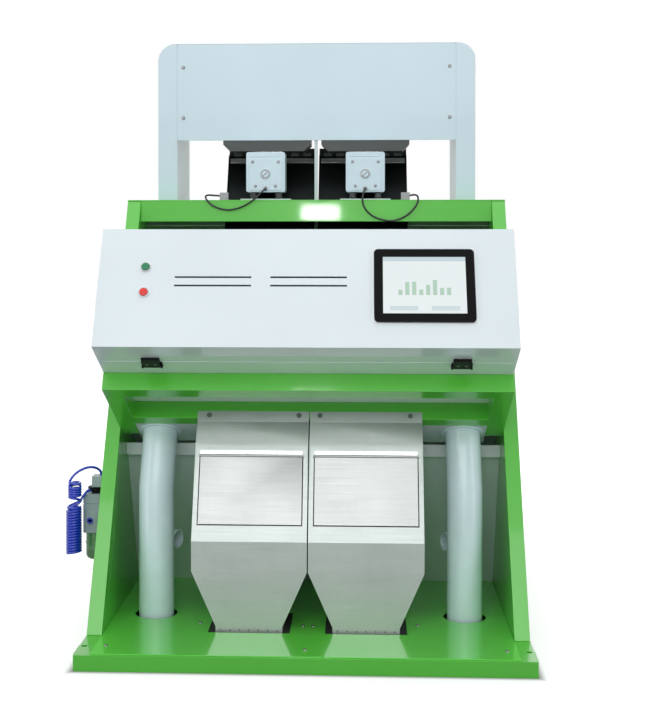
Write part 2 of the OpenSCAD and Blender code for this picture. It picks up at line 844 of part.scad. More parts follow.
camera_x = 160;
camera_w = 120;
camera_v = [60, 220];
camera_h = 90;
lens_r = 28;
lens_l = 40;
lamp_half = 500;
lamp_size = 30;
lamp_rises = [80, 160];
window_half = 490;
window_t = 4;
window_rise = [10, 56];
manifold_half = 330;
manifold_v = [-85, -45];
manifold_h = 42;
nozzle_r = 2;
nozzle_first = 20;
nozzle_pitch = 18;
nozzle_rise = 24;
floor_rear_v = -100;

// Camera body with its lens towards the inspection gap
module front_cameras() color(black) leaning() both_sides() {
    slab([camera_x - camera_w / 2, camera_x + camera_w / 2],
        [console_rear_v + camera_v[0], console_rear_v + camera_v[1]],
        [console_u + console_t, console_u + camera_h]);
    translate([camera_x, -console_rear_v - camera_v[0], console_u + camera_h / 2])
        rotate([-90, 0, 0]) cylinder(r = lens_r, h = lens_l);
}

module lamp_bars() color(grey) leaning()
    for (rise = lamp_rises)
        slab([-lamp_half, lamp_half], [console_rear_v - lamp_size, console_rear_v],
            [console_u + rise, console_u + rise + lamp_size]);

module front_glass() color([0.7, 0.85, 0.85, 0.4]) leaning()
    slab([-window_half, window_half], [console_rear_v - window_t, console_rear_v],
        [console_u + window_rise[0], console_u + window_rise[1]]);

module ejector_manifold() color(steel) leaning() difference() {
    slab([-manifold_half, manifold_half], manifold_v, [shelf_u + console_t, shelf_u + manifold_h]);
    both_sides() for (k = [0 : 15])
        translate([nozzle_first + nozzle_pitch * k, -manifold_v[0] - 6, shelf_u + nozzle_rise])
            rotate([-90, 0, 0]) cylinder(r = nozzle_r, h = 10, $fn = 16);
}

module optical_floor() color(white) leaning() difference() {
    slab([shelf_tube - bay, bay - shelf_tube], [floor_rear_v, back_tube_reach - shelf_tube],
        [shelf_u, shelf_u + console_t]);
    both_sides() translate([pipe_x, -pipe_top_v(), shelf_u - over])
        cylinder(r = pipe_r - pipe_t, h = console_t + 2 * over);
}

module reject_slide() color(white) {
    run = atan((slide_foot_back - slide_rim_back) / (slide_rim_z - plate_z));
    thick = slide_t / cos(run);
    side_cut([-bay, bay]) {
        polygon([
            [slide_rim_back, slide_rim_z], [slide_foot_back, plate_z],
            [slide_foot_back + thick, plate_z], [slide_rim_back + thick, slide_rim_z]
        ]);
        translate([slide_rim_back - 5, slide_rim_z - 36]) square([5 + thick, 36]);
    }
}

rear_box_v = [-400, -180];
rear_box_top_u = 900;

module rear_optical_box() color(white) leaning() difference() {
    slab([seat - bay, bay - seat], rear_box_v, [console_u, rear_box_top_u]);
    slab([console_t - bay, bay - console_t], [rear_box_v[0] + console_t, rear_box_v[1] + over],
        [console_u + console_t, rear_box_top_u - console_t]);
}

door_half = bay - 3;
door_low = base_h + 20;
door_high = frame_top - post_w - 10;
door_out = rear_post_back + post_w;
door_hinge_back = door_out + knuckle_r;
door_hinge_zs = [door_low + 120, door_high - 120];

door_pull_in = 58;

// Service door: folded pan with vent slots and a turned pull
module rear_door() color(green) difference() {
    union() {
        block([-door_half, door_half], [door_out - 20, door_out], [door_low, door_high]);
        for (z = door_hinge_zs) translate([-door_half, at(door_hinge_back), z]) {
            cylinder(r = knuckle_r, h = hinge_w, center = true);
            translate([0, -knuckle_r - 0.5, -hinge_w / 2]) cube([12, 5, hinge_w]);
        }
        translate([door_half - door_pull_in, at(door_out - 1), (door_low + door_high) / 2])
            rotate([-90, 0, 0]) rotate_extrude()
                polygon([[0, 0], [10, 0], [10, 3], [6, 6], [12, 10], [11, 12], [0, 13]]);
    }
    block([2 - door_half, door_half - 2], [door_out - 20 - over, door_out - 2],
        [door_low + 2, door_high - 2]);
    both_sides() for (k = [0 : 7])
        block([140, 400], [door_out - 3, door_out + over],
            [door_high - 300 + 24 * k, door_high - 292 + 24 * k]);
    for (z = door_hinge_zs) translate([-door_half, at(door_hinge_back), z])
        cylinder(r = hinge_pin_r + seat, h = 2 * hinge_w, center = true);
}

pipe_foot = 10;
socket_l = 30;
function pipe_top_u() = shelf_u - 4;
function pipe_bend_u() = (pipe_back - post_foot) * sin(tilt) + (pipe_bend - plate_z) * cos(tilt);
function pipe_top_v() = (pipe_bend - plate_z) * sin(tilt) - (pipe_back - post_foot) * cos(tilt);

// Half of space on one side of the mitre where a dust pipe turns through the posts' lean
module mitre_side(up) {
    size = 6 * pipe_r;
    translate([pipe_x, at(pipe_back), pipe_bend]) rotate([-tilt / 2, 0, 0])
        translate([-size / 2, -size / 2, up ? 0 : -size]) cube(size);
}

// Dust pipes: a rising leg with a duct socket, mitred to a leaning leg with a flange
module dust_pipes() color(white) both_sides() {
    lap = pipe_r;
    bore = pipe_r - pipe_t;
    difference() {
        translate([pipe_x, at(pipe_back), pipe_foot]) cylinder(r = pipe_r, h = pipe_bend - pipe_foot + lap);
        translate([pipe_x, at(pipe_back), pipe_foot - over])
            cylinder(r = bore, h = pipe_bend - pipe_foot + lap + 2 * over);
        translate([pipe_x, at(pipe_back), pipe_foot - over]) cylinder(r = bore + 1, h = socket_l + over);
        mitre_side(true);
    }
    difference() {
        leaning() translate([pipe_x, -pipe_top_v(), pipe_bend_u() - lap]) {
            cylinder(r = pipe_r, h = pipe_top_u() + 4 - pipe_bend_u() + lap);
            translate([0, 0, pipe_top_u() - pipe_bend_u() + lap]) cylinder(r = pipe_r + 11, h = 4);
        }
        leaning() translate([pipe_x, -pipe_top_v(), pipe_bend_u() - lap - over])
            cylinder(r = bore, h = pipe_top_u() + 4 - pipe_bend_u() + lap + 2 * over);
        mitre_side(false);
    }
}

branch_r = 32;
branch_back = pipe_back + pipe_r + branch_r + 20;
branch_z = 240;
branch_top = 300;
stub_r = 27;
stub_l = 58;
stub_turn = 65;

// Suction branch behind each dust pipe with an open stub that turns inwards
module dust_branches() color(grey) both_sides() translate([pipe_x, at(branch_back), 0]) difference() {
    union() {
        translate([0, 0, plate_z]) cylinder(r = branch_r, h = branch_top - plate_z);
        translate([0, 0, branch_z]) rotate([90, 0, -stub_turn]) cylinder(r = stub_r, h = stub_l);
    }
    translate([0, 0, plate_z - over])
        cylinder(r = branch_r - pipe_t, h = branch_top - plate_z - pipe_t + over);
    translate([0, 0, branch_z]) rotate([90, 0, -stub_turn]) cylinder(r = stub_r - pipe_t, h = stub_l + over);
}

function hopper_rim_front() = [post_y(hopper_rim_u, back_tube_reach), post_z(hopper_rim_u, back_tube_reach)];
hopper_rim_rear = [538, 497];
function hopper_side(low, rise) = [
    [hopper_front, low], [hopper_rear, low], [hopper_rear, 250],
    hopper_rim_rear + rise * unit(hopper_rim_rear - [hopper_rear, 250]),
    hopper_rim_front() + rise * unit(hopper_rim_front() - [hopper_crease_back, hopper_crease_z]),
    [hopper_crease_back, hopper_crease_z], [hopper_front, hopper_low_crease]
];
function hopper_face_on(low, high) = [
    [-hopper_foot_w / 2, low], [hopper_foot_w / 2, low], [hopper_foot_w / 2, hopper_taper_foot],
    [hopper_half, hopper_taper_top], [hopper_half, high], [-hopper_half, high],
    [-hopper_half, hopper_taper_top], [-hopper_foot_w / 2, hopper_taper_foot]
];

// Frame on a hopper's sloping face: Z runs up the face and -Y points out of it
module on_face(x) {
    translate([x, at(hopper_front), hopper_low_crease]) rotate([-hopper_lean, 0, 0]) children();
}

module hopper(x) color(steel) {
    difference() {
        intersection() {
            side_cut([x - hopper_half, x + hopper_half]) polygon(hopper_side(hopper_foot_z, 0));
            translate([x, 0, 0]) front_cut([0, 700]) polygon(hopper_face_on(hopper_foot_z, 700));
        }
        intersection() {
            side_cut([x - hopper_half, x + hopper_half])
                polygon(inset(hopper_side(hopper_foot_z - 20, 20), hopper_t));
            translate([x, 0, 0]) front_cut([0, 700])
                polygon(inset(hopper_face_on(hopper_foot_z - 20, 720), hopper_t));
        }
        on_face(x) translate([-flap_w / 2 + flap_lap, -over, flap_top - flap_h + flap_lap])
            cube([flap_w - 2 * flap_lap, hopper_t + 2 * over, flap_h - 2 * flap_lap]);
    }
    leaning() slab([x - hopper_half, x + hopper_half], [back_tube_reach, back_tube_reach + hopper_t],
        [hopper_rim_u - hopper_t, hopper_rim_u + rim_flange]);
    on_face(x) translate([0, -flap_axis_out, flap_axis_up]) {
        rod(flap_rod_r, flap_w + 2 * lug_w);
        for (s = [-1, 1]) translate([s * (flap_w / 2 + lug_w / 2 + fit), 0, 0]) {
            rod(flap_barrel_r, lug_w);
            translate([-lug_w / 2, 0, -flap_barrel_r]) cube([lug_w, flap_axis_out + 1, 2 * flap_barrel_r]);
        }
    }
}

module hopper_left() { hopper(-hopper_x); }
module hopper_right() { hopper(hopper_x); }

module hopper_flap(x) color(steel) on_face(x) difference() {
    union() {
        translate([-flap_w / 2, -flap_t - fit, flap_top - flap_h]) cube([flap_w, flap_t, flap_h]);
        translate([0, -flap_axis_out, flap_axis_up]) rod(flap_barrel_r, flap_w);
    }
    translate([0, -flap_axis_out, flap_axis_up]) rod(flap_rod_r + seat, flap_w + 2 * over);
}

module hopper_flap_left() { hopper_flap(-hopper_x); }
module hopper_flap_right() { hopper_flap(hopper_x); }

// Rubber skirts under the plate that close the slots round the hopper feet
module hopper_boots() color(black) translate([0, -base_d / 2, base_h - boot_t]) both_sides()
    translate([hopper_x, 0, 0]) linear_extrude(boot_t) difference() {
        foot_slot(12);
        translate([-hopper_foot_w / 2, hopper_front]) square([hopper_foot_w, hopper_rear - hopper_front]);
    }

air_y = at(air_back);
air_top = air_z + air_h;
function air_point(p) = p + [-air_x, air_y, air_top];

module air_body() color(grey) {
    difference() {
        translate([-air_x, air_y, air_z]) linear_extrude(air_h) round_rect(air_w, air_w + 6, 10);
        translate([-air_x, air_y, air_top - 30]) difference() {
            cylinder(r = 2 * air_w, h = 3);
            translate([0, 0, -over]) linear_extrude(3 + 2 * over) round_rect(air_w - 3, air_w + 3, 10);
        }
        translate([-air_x, air_y + air_w / 2 - 8, air_z + 56]) rotate([-90, 0, 0]) cylinder(r = 6.6, h = 20);
    }
    translate([-air_x - 8, air_y - air_w / 2 - 3, air_z + 37]) rotate([90, 0, 0]) difference() {
        cylinder(r = 8, h = 5);
        translate([0, 0, 2]) cylinder(r = 4, h = 5);
    }
    block([-air_x + air_w / 2, -bay - panel_t], [air_back - 20, air_back + 20], [air_z + 40, air_z + 80]);
    translate([-air_x, air_y, air_top]) cylinder(r = 5, h = 10);
    translate(air_point(hose_return_route[len(hose_return_route) - 1]) - [0, 0, 8]) cylinder(r = 4.5, h = 8);
}

module air_bowl() color([0.3, 0.55, 0.3]) translate([-air_x, air_y, air_z]) rotate_extrude() {
    translate([0, -66]) square([bowl_r, 66]);
    translate([0, -34]) square([bowl_r + 2, 5]);
    translate([0, -81]) square([bowl_r - 15, 20]);
    intersection() {
        translate([bowl_r - 15, -66]) circle(15);
        translate([0, -81]) square([bowl_r, 20]);
    }
}

knob_h = 18;

// Pressure knob with grip flutes on its stem
module air_knob() color(black) translate([-air_x, air_y, air_top + fit]) difference() {
    cylinder(r = 21, h = knob_h);
    for (k = [0 : 11]) rotate(30 * k) translate([22.5, 0, -over]) cylinder(r = 3, h = knob_h + 2 * over);
    translate([0, 0, -over]) cylinder(r = 5 + seat, h = 12);
}

// Outlet block over the knob, with its arm to the side panel
module air_outlet_block() color(grey) {
    low = air_top + knob_h + 2;
    inner = rail_out + 1;
    block([-air_x - 5, -inner], [air_back - 28, air_back + 16], [low, air_top + hose_inlet_route[0][2]]);
    block([-inner, -bay - panel_t], [air_back - 14, air_back + 6], [low + 4, air_top + 46]);
}

module air_hose_leads() color(blue) translate([-air_x, air_y, air_top]) {
    cord(hose_inlet_route);
    cord(hose_link_route);
    cord(hose_return_route);
}

module hose_coil(axis, r, z) {
    translate([axis[0] - air_x, axis[1] + air_y, air_top + z[0]]) rotate_extrude() square([r, z[1] - z[0]]);
}

module air_hose_upper_coil() color(blue) hose_coil(hose_upper_axis, hose_upper_r, hose_upper_z);
module air_hose_lower_coil() color(blue) hose_coil(hose_lower_axis, hose_lower_r, hose_lower_z);

base_frame();
base_plate();
panel_screws();
front_posts();
rear_posts();
top_rails();
top_beams();
side_panels();
top_decks();
shelf_frame();
console_box();
console_lid();
hinge_pins();
latch_bases();
latch_lever_left();
latch_lever_right();
latch_keepers();
start_button();
stop_button();
button_bezels();
screen_bezel();
screen_glass();
hood_shell();
hood_panels();
feed_hopper();
feed_tray_left();
feed_tray_right();
vibrator_housings();
vibrator_covers();
isolator_springs();
vibrator_bases();
leaf_springs();
cable_connectors();
vibrator_cable_left();
vibrator_cable_right();
chutes();
chute_supports();
centre_strut();
front_cameras();
lamp_bars();
front_glass();
ejector_manifold();
optical_floor();
reject_slide();
rear_optical_box();
rear_door();
dust_pipes();
dust_branches();
hopper_left();
hopper_right();
hopper_flap_left();
hopper_flap_right();
hopper_boots();
air_body();
air_bowl();
air_knob();
air_outlet_block();
air_hose_leads();
air_hose_upper_coil();
air_hose_lower_coil();
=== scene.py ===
"""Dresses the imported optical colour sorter: finishes, soft edges, small fittings, cords and studio.

Lengths are in metres in the CAD frame: +X right, -Y to the front, +Z up, origin on the floor.
"""

import json
import logging
import math
from dataclasses import dataclass, replace
from enum import Enum

import bmesh
import bpy
import numpy as np
from mathutils import Matrix, Vector


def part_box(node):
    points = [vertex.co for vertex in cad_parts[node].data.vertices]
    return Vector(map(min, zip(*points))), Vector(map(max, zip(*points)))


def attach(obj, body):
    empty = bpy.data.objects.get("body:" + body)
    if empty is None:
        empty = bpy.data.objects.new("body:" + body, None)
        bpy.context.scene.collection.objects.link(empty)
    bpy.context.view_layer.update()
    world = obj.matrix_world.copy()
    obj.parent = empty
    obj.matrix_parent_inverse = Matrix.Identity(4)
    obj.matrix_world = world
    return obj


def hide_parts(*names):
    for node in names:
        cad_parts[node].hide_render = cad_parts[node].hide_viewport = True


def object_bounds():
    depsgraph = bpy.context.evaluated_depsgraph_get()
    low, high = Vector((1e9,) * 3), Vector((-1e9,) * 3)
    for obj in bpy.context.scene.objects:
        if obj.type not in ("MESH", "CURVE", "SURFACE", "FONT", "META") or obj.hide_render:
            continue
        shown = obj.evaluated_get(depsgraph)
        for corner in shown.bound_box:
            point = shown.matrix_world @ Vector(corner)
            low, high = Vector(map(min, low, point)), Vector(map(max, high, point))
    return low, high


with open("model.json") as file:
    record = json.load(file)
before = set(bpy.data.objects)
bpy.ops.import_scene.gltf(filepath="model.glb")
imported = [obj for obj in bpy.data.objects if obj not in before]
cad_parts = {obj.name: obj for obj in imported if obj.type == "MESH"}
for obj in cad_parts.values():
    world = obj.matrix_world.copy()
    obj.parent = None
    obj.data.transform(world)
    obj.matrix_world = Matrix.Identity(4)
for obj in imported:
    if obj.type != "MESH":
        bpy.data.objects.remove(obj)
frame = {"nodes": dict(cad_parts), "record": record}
CAD_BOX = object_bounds()

LOG = logging.getLogger("colour_sorter")
MM = 0.001
IMAGE_W, IMAGE_H = 649, 702
SIDES = ("left", "right")

# The posts lean back, and their feet go a little way into the floor plate.
LEAN = math.radians(28.0)
POST_SINK = 3.0 * MM
POST_FOOT = (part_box("front_posts")[0].y + POST_SINK * math.tan(LEAN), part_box("base_plate")[1].z)

# How far a laid-on piece sinks into what carries it, and the shading angle of flat strips.
SUNK = 0.3 * MM
CRISP = 20.0

Colour = tuple[float, float, float]
Point = tuple[float, float, float]
Place = np.ndarray | Point
Route = tuple[Point, ...]
Rows = tuple[tuple, ...]


def srgb(red: int, green: int, blue: int) -> Colour:
    """Linear colour of an 8-bit display colour.

    Args:
        red, green, blue: display values from 0 to 255.
    Returns:
        The colour as the renderer's linear values.
    """
    shares = np.array([red, green, blue]) / 255.0
    linear = np.where(shares <= 0.04045, shares / 12.92, ((shares + 0.055) / 1.055) ** 2.4)
    return tuple(float(c) for c in linear)


def scaled(colour: Colour, by: float, lift: float = 0.0) -> Colour:
    """A colour made darker or lighter, held at full white."""
    return tuple(min(1.0, by * c + lift) for c in colour)


# Shader maths


class Value:
    """A node's output socket, with operators that add the Math node they stand for."""

    def __init__(self, book: "NodeBook", socket: bpy.types.NodeSocket) -> None:
        """Keeps the socket and the book of nodes that it belongs to."""
        self.book = book
        self.socket = socket

    def _math(self, operation: str, first: object, second: object = 0.0) -> "Value":
        """Adds one Math node."""
        return self.book.node("ShaderNodeMath", {"operation": operation}, {0: first, 1: second})

    def __add__(self, other: object) -> "Value":
        """self + other"""
        return self._math("ADD", self, other)

    def __radd__(self, other: object) -> "Value":
        """other + self"""
        return self._math("ADD", other, self)

    def __sub__(self, other: object) -> "Value":
        """self - other"""
        return self._math("SUBTRACT", self, other)

    def __rsub__(self, other: object) -> "Value":
        """other - self"""
        return self._math("SUBTRACT", other, self)

    def __mul__(self, other: object) -> "Value":
        """self * other"""
        return self._math("MULTIPLY", self, other)

    def __rmul__(self, other: object) -> "Value":
        """other * self"""
        return self._math("MULTIPLY", other, self)

    def __truediv__(self, other: object) -> "Value":
        """self / other"""
        return self._math("DIVIDE", self, other)

    def __gt__(self, other: object) -> "Value":
        """1 where self is above other, else 0"""
        return self._math("GREATER_THAN", self, other)

    def __lt__(self, other: object) -> "Value":
        """1 where self is below other, else 0"""
        return self._math("LESS_THAN", self, other)

    def most(self, other: object) -> "Value":
        """The larger of self and other."""
        return self._math("MAXIMUM", self, other)

    def through(self, operation: str) -> "Value":
        """The value put through a Math operation of one value, such as FRACT or SINE."""
        return self._math(operation, self)

    def magnitude(self) -> "Value":
        """The value without its sign."""
        return self.through("ABSOLUTE")

    def clamped(self) -> "Value":
        """The value held between 0 and 1."""
        return self.book.node("ShaderNodeClamp", {}, {"Value": self})


class NodeBook:
    """A node tree with one method that adds any node."""

    def __init__(self, tree: bpy.types.NodeTree) -> None:
        """Keeps the tree."""
        self.tree = tree

    def put(self, value: object, socket: bpy.types.NodeSocket) -> None:
        """Links a value to a socket, or sets a number, a vector or a colour on it.

        Args:
            value: the value; a colour may leave out its alpha.
            socket: the input socket.
        """
        if isinstance(value, Value):
            self.tree.links.new(value.socket, socket)
        elif isinstance(value, tuple) and socket.type == "RGBA":
            socket.default_value = (*value, 1.0)
        else:
            socket.default_value = value

    def node(self, kind: str, settings: dict, inputs: dict, output: int | str = 0) -> Value:
        """Adds a node.

        Args:
            kind: the node's type name.
            settings: properties to set first.
            inputs: values or links by socket name or number.
            output: the output socket that is wanted.
        Returns:
            The wrapped output socket.
        """
        made = self.tree.nodes.new(kind)
        for key, value in settings.items():
            setattr(made, key, value)
        for key, value in inputs.items():
            self.put(value, made.inputs[key])
        return Value(self, made.outputs[output])

    def ray(self, kind: str) -> Value:
        """1 for the rays of a kind, else 0."""
        return self.node("ShaderNodeLightPath", {}, {}, kind)


class MaterialBook(NodeBook):
    """The nodes of one material around its Principled shader."""

    def __init__(self, name: str) -> None:
        """Starts a material that holds only its output and the shader.

        Args:
            name: the material's name.
        """
        self.material = bpy.data.materials.new(name)
        self.material.use_nodes = True
        super().__init__(self.material.node_tree)
        self.shader = self.tree.nodes["Principled BSDF"]

    def place(self) -> Value:
        """Object coordinates, which are the CAD frame's own."""
        return self.node("ShaderNodeTexCoord", {}, {}, "Object")

    def axis(self, where: Value, letter: str) -> Value:
        """One coordinate of a place."""
        return self.node("ShaderNodeSeparateXYZ", {}, {0: where}, letter)

    def turned(self, centre: Point, turn: Point, stretch: Point = (1.0, 1.0, 1.0)) -> Value:
        """Object coordinates in a frame with its own centre, turn and stretch.

        Args:
            centre: the new frame's origin.
            turn: the new frame's turn about X, Y and Z.
            stretch: sizes of the new frame's units.
        Returns:
            The coordinates in that frame.
        """
        return self.node(
            "ShaderNodeMapping", {"vector_type": "TEXTURE"},
            {"Vector": self.place(), "Location": centre, "Rotation": turn, "Scale": stretch},
        )

    def stretched(self, stretch: Point) -> Value:
        """Object coordinates in units of their own along each axis."""
        return self.turned((0.0, 0.0, 0.0), (0.0, 0.0, 0.0), stretch)

    def noise(self, where: Value, scale: float, detail: float = 3.0, rough: float = 0.5) -> Value:
        """Soft noise from 0 to 1 with a number of cells per unit of where."""
        return self.node(
            "ShaderNodeTexNoise", {},
            {"Vector": where, "Scale": scale, "Detail": detail, "Roughness": rough}, "Fac",
        )

    def blend(self, share: object, first: object, second: object) -> Value:
        """Colour that goes from first to second with share."""
        sockets = {0: share, 6: first, 7: second}
        return self.node("ShaderNodeMix", {"data_type": "RGBA"}, sockets, 2)

    def bump(self, height: Value, strength: float, distance: float) -> Value:
        """Normal that follows a height field."""
        sockets = {"Height": height, "Strength": strength, "Distance": distance}
        return self.node("ShaderNodeBump", {}, sockets)

    def finish(self, **sockets: object) -> bpy.types.Material:
        """Links or sets the shader's sockets, with spaces written as underscores."""
        for key, value in sockets.items():
            self.put(value, self.shader.inputs[key.replace("_", " ")])
        return self.material


# Finishes


@dataclass(frozen=True)
class PowderCoat:
    """Sprayed and baked paint with orange peel, a faint cloudiness and handling marks."""

    name: str
    colour: Colour
    roughness: float = 0.30
    coat: float = 0.35
    coat_roughness: float = 0.05
    peel: float = 0.04
    peel_depth: float = 0.4 * MM

    def material(self) -> bpy.types.Material:
        """Returns the paint as a material."""
        book = MaterialBook(self.name)
        place = book.place()
        cloud = book.noise(place, scale=3.0, detail=2.0)
        grain = book.noise(place, scale=420.0, detail=1.0)
        marks = book.noise(place, scale=24.0, detail=5.0, rough=0.7)
        return book.finish(
            Base_Color=book.blend(cloud, scaled(self.colour, 0.93), scaled(self.colour, 1.05)),
            Roughness=self.roughness + 0.08 * (marks - 0.5),
            Normal=book.bump(grain, self.peel, self.peel_depth),
            Coat_Weight=self.coat,
            Coat_Roughness=self.coat_roughness,
        )


class Grain(Enum):
    """Direction of a brushed sheet's scratches, as the stretch of its noise."""

    ACROSS = (0.16, 0.0022, 0.0022)
    LENGTHWISE = (0.0022, 0.16, 0.0022)


@dataclass(frozen=True)
class BrushedSheet:
    """Brushed stainless sheet with fine scratches, spots, wiping marks and a slight waviness."""

    name: str
    colour: Colour
    grain: Grain
    roughness: float
    wave: float = 0.12
    wave_size: Point = (0.20, 0.20, 0.05)
    wave_depth: float = 6.0 * MM

    def material(self) -> bpy.types.Material:
        """Returns the sheet as a material."""
        book = MaterialBook(self.name)
        place = book.place()
        scratches = book.noise(book.stretched(self.grain.value), scale=1.0, rough=0.6)
        wiped = book.noise(place, scale=7.0, detail=4.0, rough=0.62)
        spots = book.noise(place, scale=60.0, rough=0.7)
        waves = book.noise(book.stretched(self.wave_size), scale=1.0, detail=2.0)
        tone = book.blend(
            (wiped * 1.6 - 0.35).clamped(), scaled(self.colour, 0.86), self.colour
        )
        stain = (0.24 * spots + 0.5 * (scratches - 0.35)).clamped()
        return book.finish(
            Base_Color=book.blend(stain, tone, scaled(self.colour, 0.6)),
            Metallic=1.0,
            Roughness=self.roughness + 0.18 * (wiped - 0.5) + 0.14 * (scratches - 0.5),
            Normal=book.bump(0.02 * scratches + waves, self.wave, self.wave_depth),
        )


@dataclass(frozen=True)
class PlainMetal:
    """Turned, plated or anodised metal with a light cloudiness."""

    name: str
    colour: Colour
    roughness: float

    def material(self) -> bpy.types.Material:
        """Returns the metal as a material."""
        book = MaterialBook(self.name)
        haze = book.noise(book.place(), scale=90.0, rough=0.6)
        return book.finish(
            Base_Color=book.blend(haze, scaled(self.colour, 0.85), self.colour),
            Metallic=1.0,
            Roughness=self.roughness + 0.2 * (haze - 0.5),
        )


@dataclass(frozen=True)
class Moulded:
    """Moulded plastic or rubber with a fine spark-eroded grain."""

    name: str
    colour: Colour
    roughness: float
    grain: float
    coat: float = 0.0
    specular: float = 0.5
    grain_depth: float = 0.3 * MM

    def material(self) -> bpy.types.Material:
        """Returns the moulding as a material."""
        book = MaterialBook(self.name)
        place = book.place()
        texture = book.noise(place, scale=1100.0, detail=2.0)
        tone = book.noise(place, scale=14.0)
        light = scaled(self.colour, 1.08, 0.002)
        return book.finish(
            Base_Color=book.blend(tone, scaled(self.colour, 0.92), light),
            Roughness=self.roughness + 0.12 * (tone - 0.5),
            Normal=book.bump(texture, self.grain, self.grain_depth),
            Coat_Weight=self.coat,
            Specular_IOR_Level=self.specular,
        )


@dataclass(frozen=True)
class ClearGlass:
    """Thin clear glass with faint wiping smears."""

    name: str
    colour: Colour
    roughness: float = 0.02

    def material(self) -> bpy.types.Material:
        """Returns the glass as a material."""
        book = MaterialBook(self.name)
        smear = book.noise(book.place(), scale=18.0, detail=4.0, rough=0.65)
        return book.finish(
            Base_Color=self.colour,
            Roughness=self.roughness + 0.05 * smear,
            Transmission_Weight=0.92,
            IOR=1.45,
        )


@dataclass(frozen=True)
class LitDisplay:
    """Lit touch panel with a plain status bar, a row of level bars and two soft keys."""

    name: str
    centre: Point
    width: float
    height: float
    columns: float = 12.0
    dark: Colour = (0.02, 0.02, 0.02)
    glow: float = 0.92

    def material(self) -> bpy.types.Material:
        """Returns the display as a material, its picture worked out on the panel's own axes."""
        book = MaterialBook(self.name)
        local = book.turned(self.centre, (-LEAN, 0.0, 0.0))
        across = book.axis(local, "X") / self.width
        up = book.axis(local, "Z") / self.height
        sheen = book.noise(local, scale=5.0, detail=1.0)
        picture = book.blend(sheen, srgb(226, 236, 238), srgb(240, 246, 246))
        bar = up > 0.42
        keys = (up < -0.37) * ((across.magnitude() - 0.25).magnitude() < 0.17) * (up > -0.45)
        column = (across * self.columns + self.columns / 2).through("FRACT")
        step = (across * self.columns).through("FLOOR")
        level = (step * 1.9).through("SINE") * 0.09
        bars = ((column - 0.5).magnitude() < 0.3) * (up > -0.18) * (up < level)
        bars = bars * (across.magnitude() < 0.34)
        picture = book.blend(bar, picture, srgb(196, 214, 220))
        picture = book.blend(keys, picture, srgb(206, 222, 226))
        picture = book.blend(bars, picture, srgb(176, 208, 186))
        return book.finish(
            Base_Color=self.dark,
            Emission_Color=picture,
            Emission_Strength=self.glow,
            Roughness=0.08 + 0.03 * sheen,
            Coat_Weight=0.3,
        )


@dataclass(frozen=True)
class TintedBowl:
    """Tinted see-through plastic with a water line."""

    name: str
    colour: Colour
    line: float

    def material(self) -> bpy.types.Material:
        """Returns the bowl as a material."""
        book = MaterialBook(self.name)
        place = book.place()
        haze = book.noise(place, scale=40.0)
        wet = (book.axis(place, "Z") < self.line) * 0.5 + 0.3 * haze
        return book.finish(
            Base_Color=book.blend(wet, self.colour, scaled(self.colour, 0.45)),
            Roughness=0.16 + 0.12 * haze,
            Transmission_Weight=0.25,
            Coat_Weight=0.3,
        )


class Finish(Enum):
    """Every finish of the machine, each made into a material once and shared."""

    GREEN = PowderCoat("green_paint", srgb(80, 188, 50), 0.30, 0.5)
    PLATE = PowderCoat("plate_paint", srgb(96, 212, 66), 0.30, 1.0)
    WHITE = PowderCoat("white_paint", srgb(222, 232, 236), 0.34, 0.9, 0.03)
    HOOD = PowderCoat("hood_paint", srgb(203, 222, 230), 0.36, 0.15)
    INNER = PowderCoat("inner_paint", srgb(196, 208, 212), 0.45, 0.1)
    SHEET = BrushedSheet("brushed_sheet", (0.505, 0.55, 0.535), Grain.ACROSS, 0.50, 0.16)
    FLAP = BrushedSheet("brushed_flap", (0.48, 0.50, 0.495), Grain.ACROSS, 0.47, 0.05)
    TRAY = BrushedSheet("brushed_tray", (0.062, 0.070, 0.068), Grain.LENGTHWISE, 0.40)
    BRIGHT = PlainMetal("bright_steel", (0.74, 0.75, 0.76), 0.2)
    ZINC = PlainMetal("zinc_plate", (0.22, 0.23, 0.23), 0.36)
    SPRING = PlainMetal("spring_steel", (0.20, 0.205, 0.205), 0.32)
    ALUMINIUM = PlainMetal("satin_aluminium", (0.58, 0.59, 0.60), 0.36)
    CHUTE = PlainMetal("dark_anodised", (0.014, 0.017, 0.017), 0.4)
    BLACK = Moulded("black_moulding", (0.010, 0.010, 0.011), 0.42, 0.12, 0.0, 0.1)
    BEZEL = Moulded("bezel_gloss", (0.003, 0.003, 0.0035), 0.12, 0.02, 0.0, 0.12)
    RUBBER = Moulded("boot_rubber", (0.014, 0.014, 0.014), 0.7, 0.3)
    CABLE = Moulded("cable_sheath", (0.012, 0.012, 0.013), 0.5, 0.08)
    DUCT = Moulded("duct_plastic", srgb(212, 233, 237), 0.32, 0.03, 0.3)
    CASTING = Moulded("air_casting", srgb(158, 176, 176), 0.42, 0.2)
    HOSE = Moulded("hose_blue", srgb(16, 52, 196), 0.22, 0.02, 0.5)
    START = Moulded("start_cap", srgb(28, 126, 84), 0.25, 0.02, 0.4)
    STOP = Moulded("stop_cap", srgb(222, 48, 44), 0.25, 0.02, 0.4)
    GLASS = ClearGlass("window_glass", (0.86, 0.92, 0.92))
    BOWL = TintedBowl("bowl_tint", srgb(104, 168, 106), 0.215)


# Shapes


def leaning(points: np.ndarray) -> np.ndarray:
    """Points given as (x, v, u) beside the posts, in the CAD frame.

    Args:
        points: rows of x, of v forward from the posts and of u up along them from their feet.
    Returns:
        Rows of x, y and z.
    """
    x, v, u = points.T
    y = POST_FOOT[0] + u * math.sin(LEAN) - v * math.cos(LEAN)
    z = POST_FOOT[1] + u * math.cos(LEAN) + v * math.sin(LEAN)
    return np.stack([x, y, z], axis=-1)


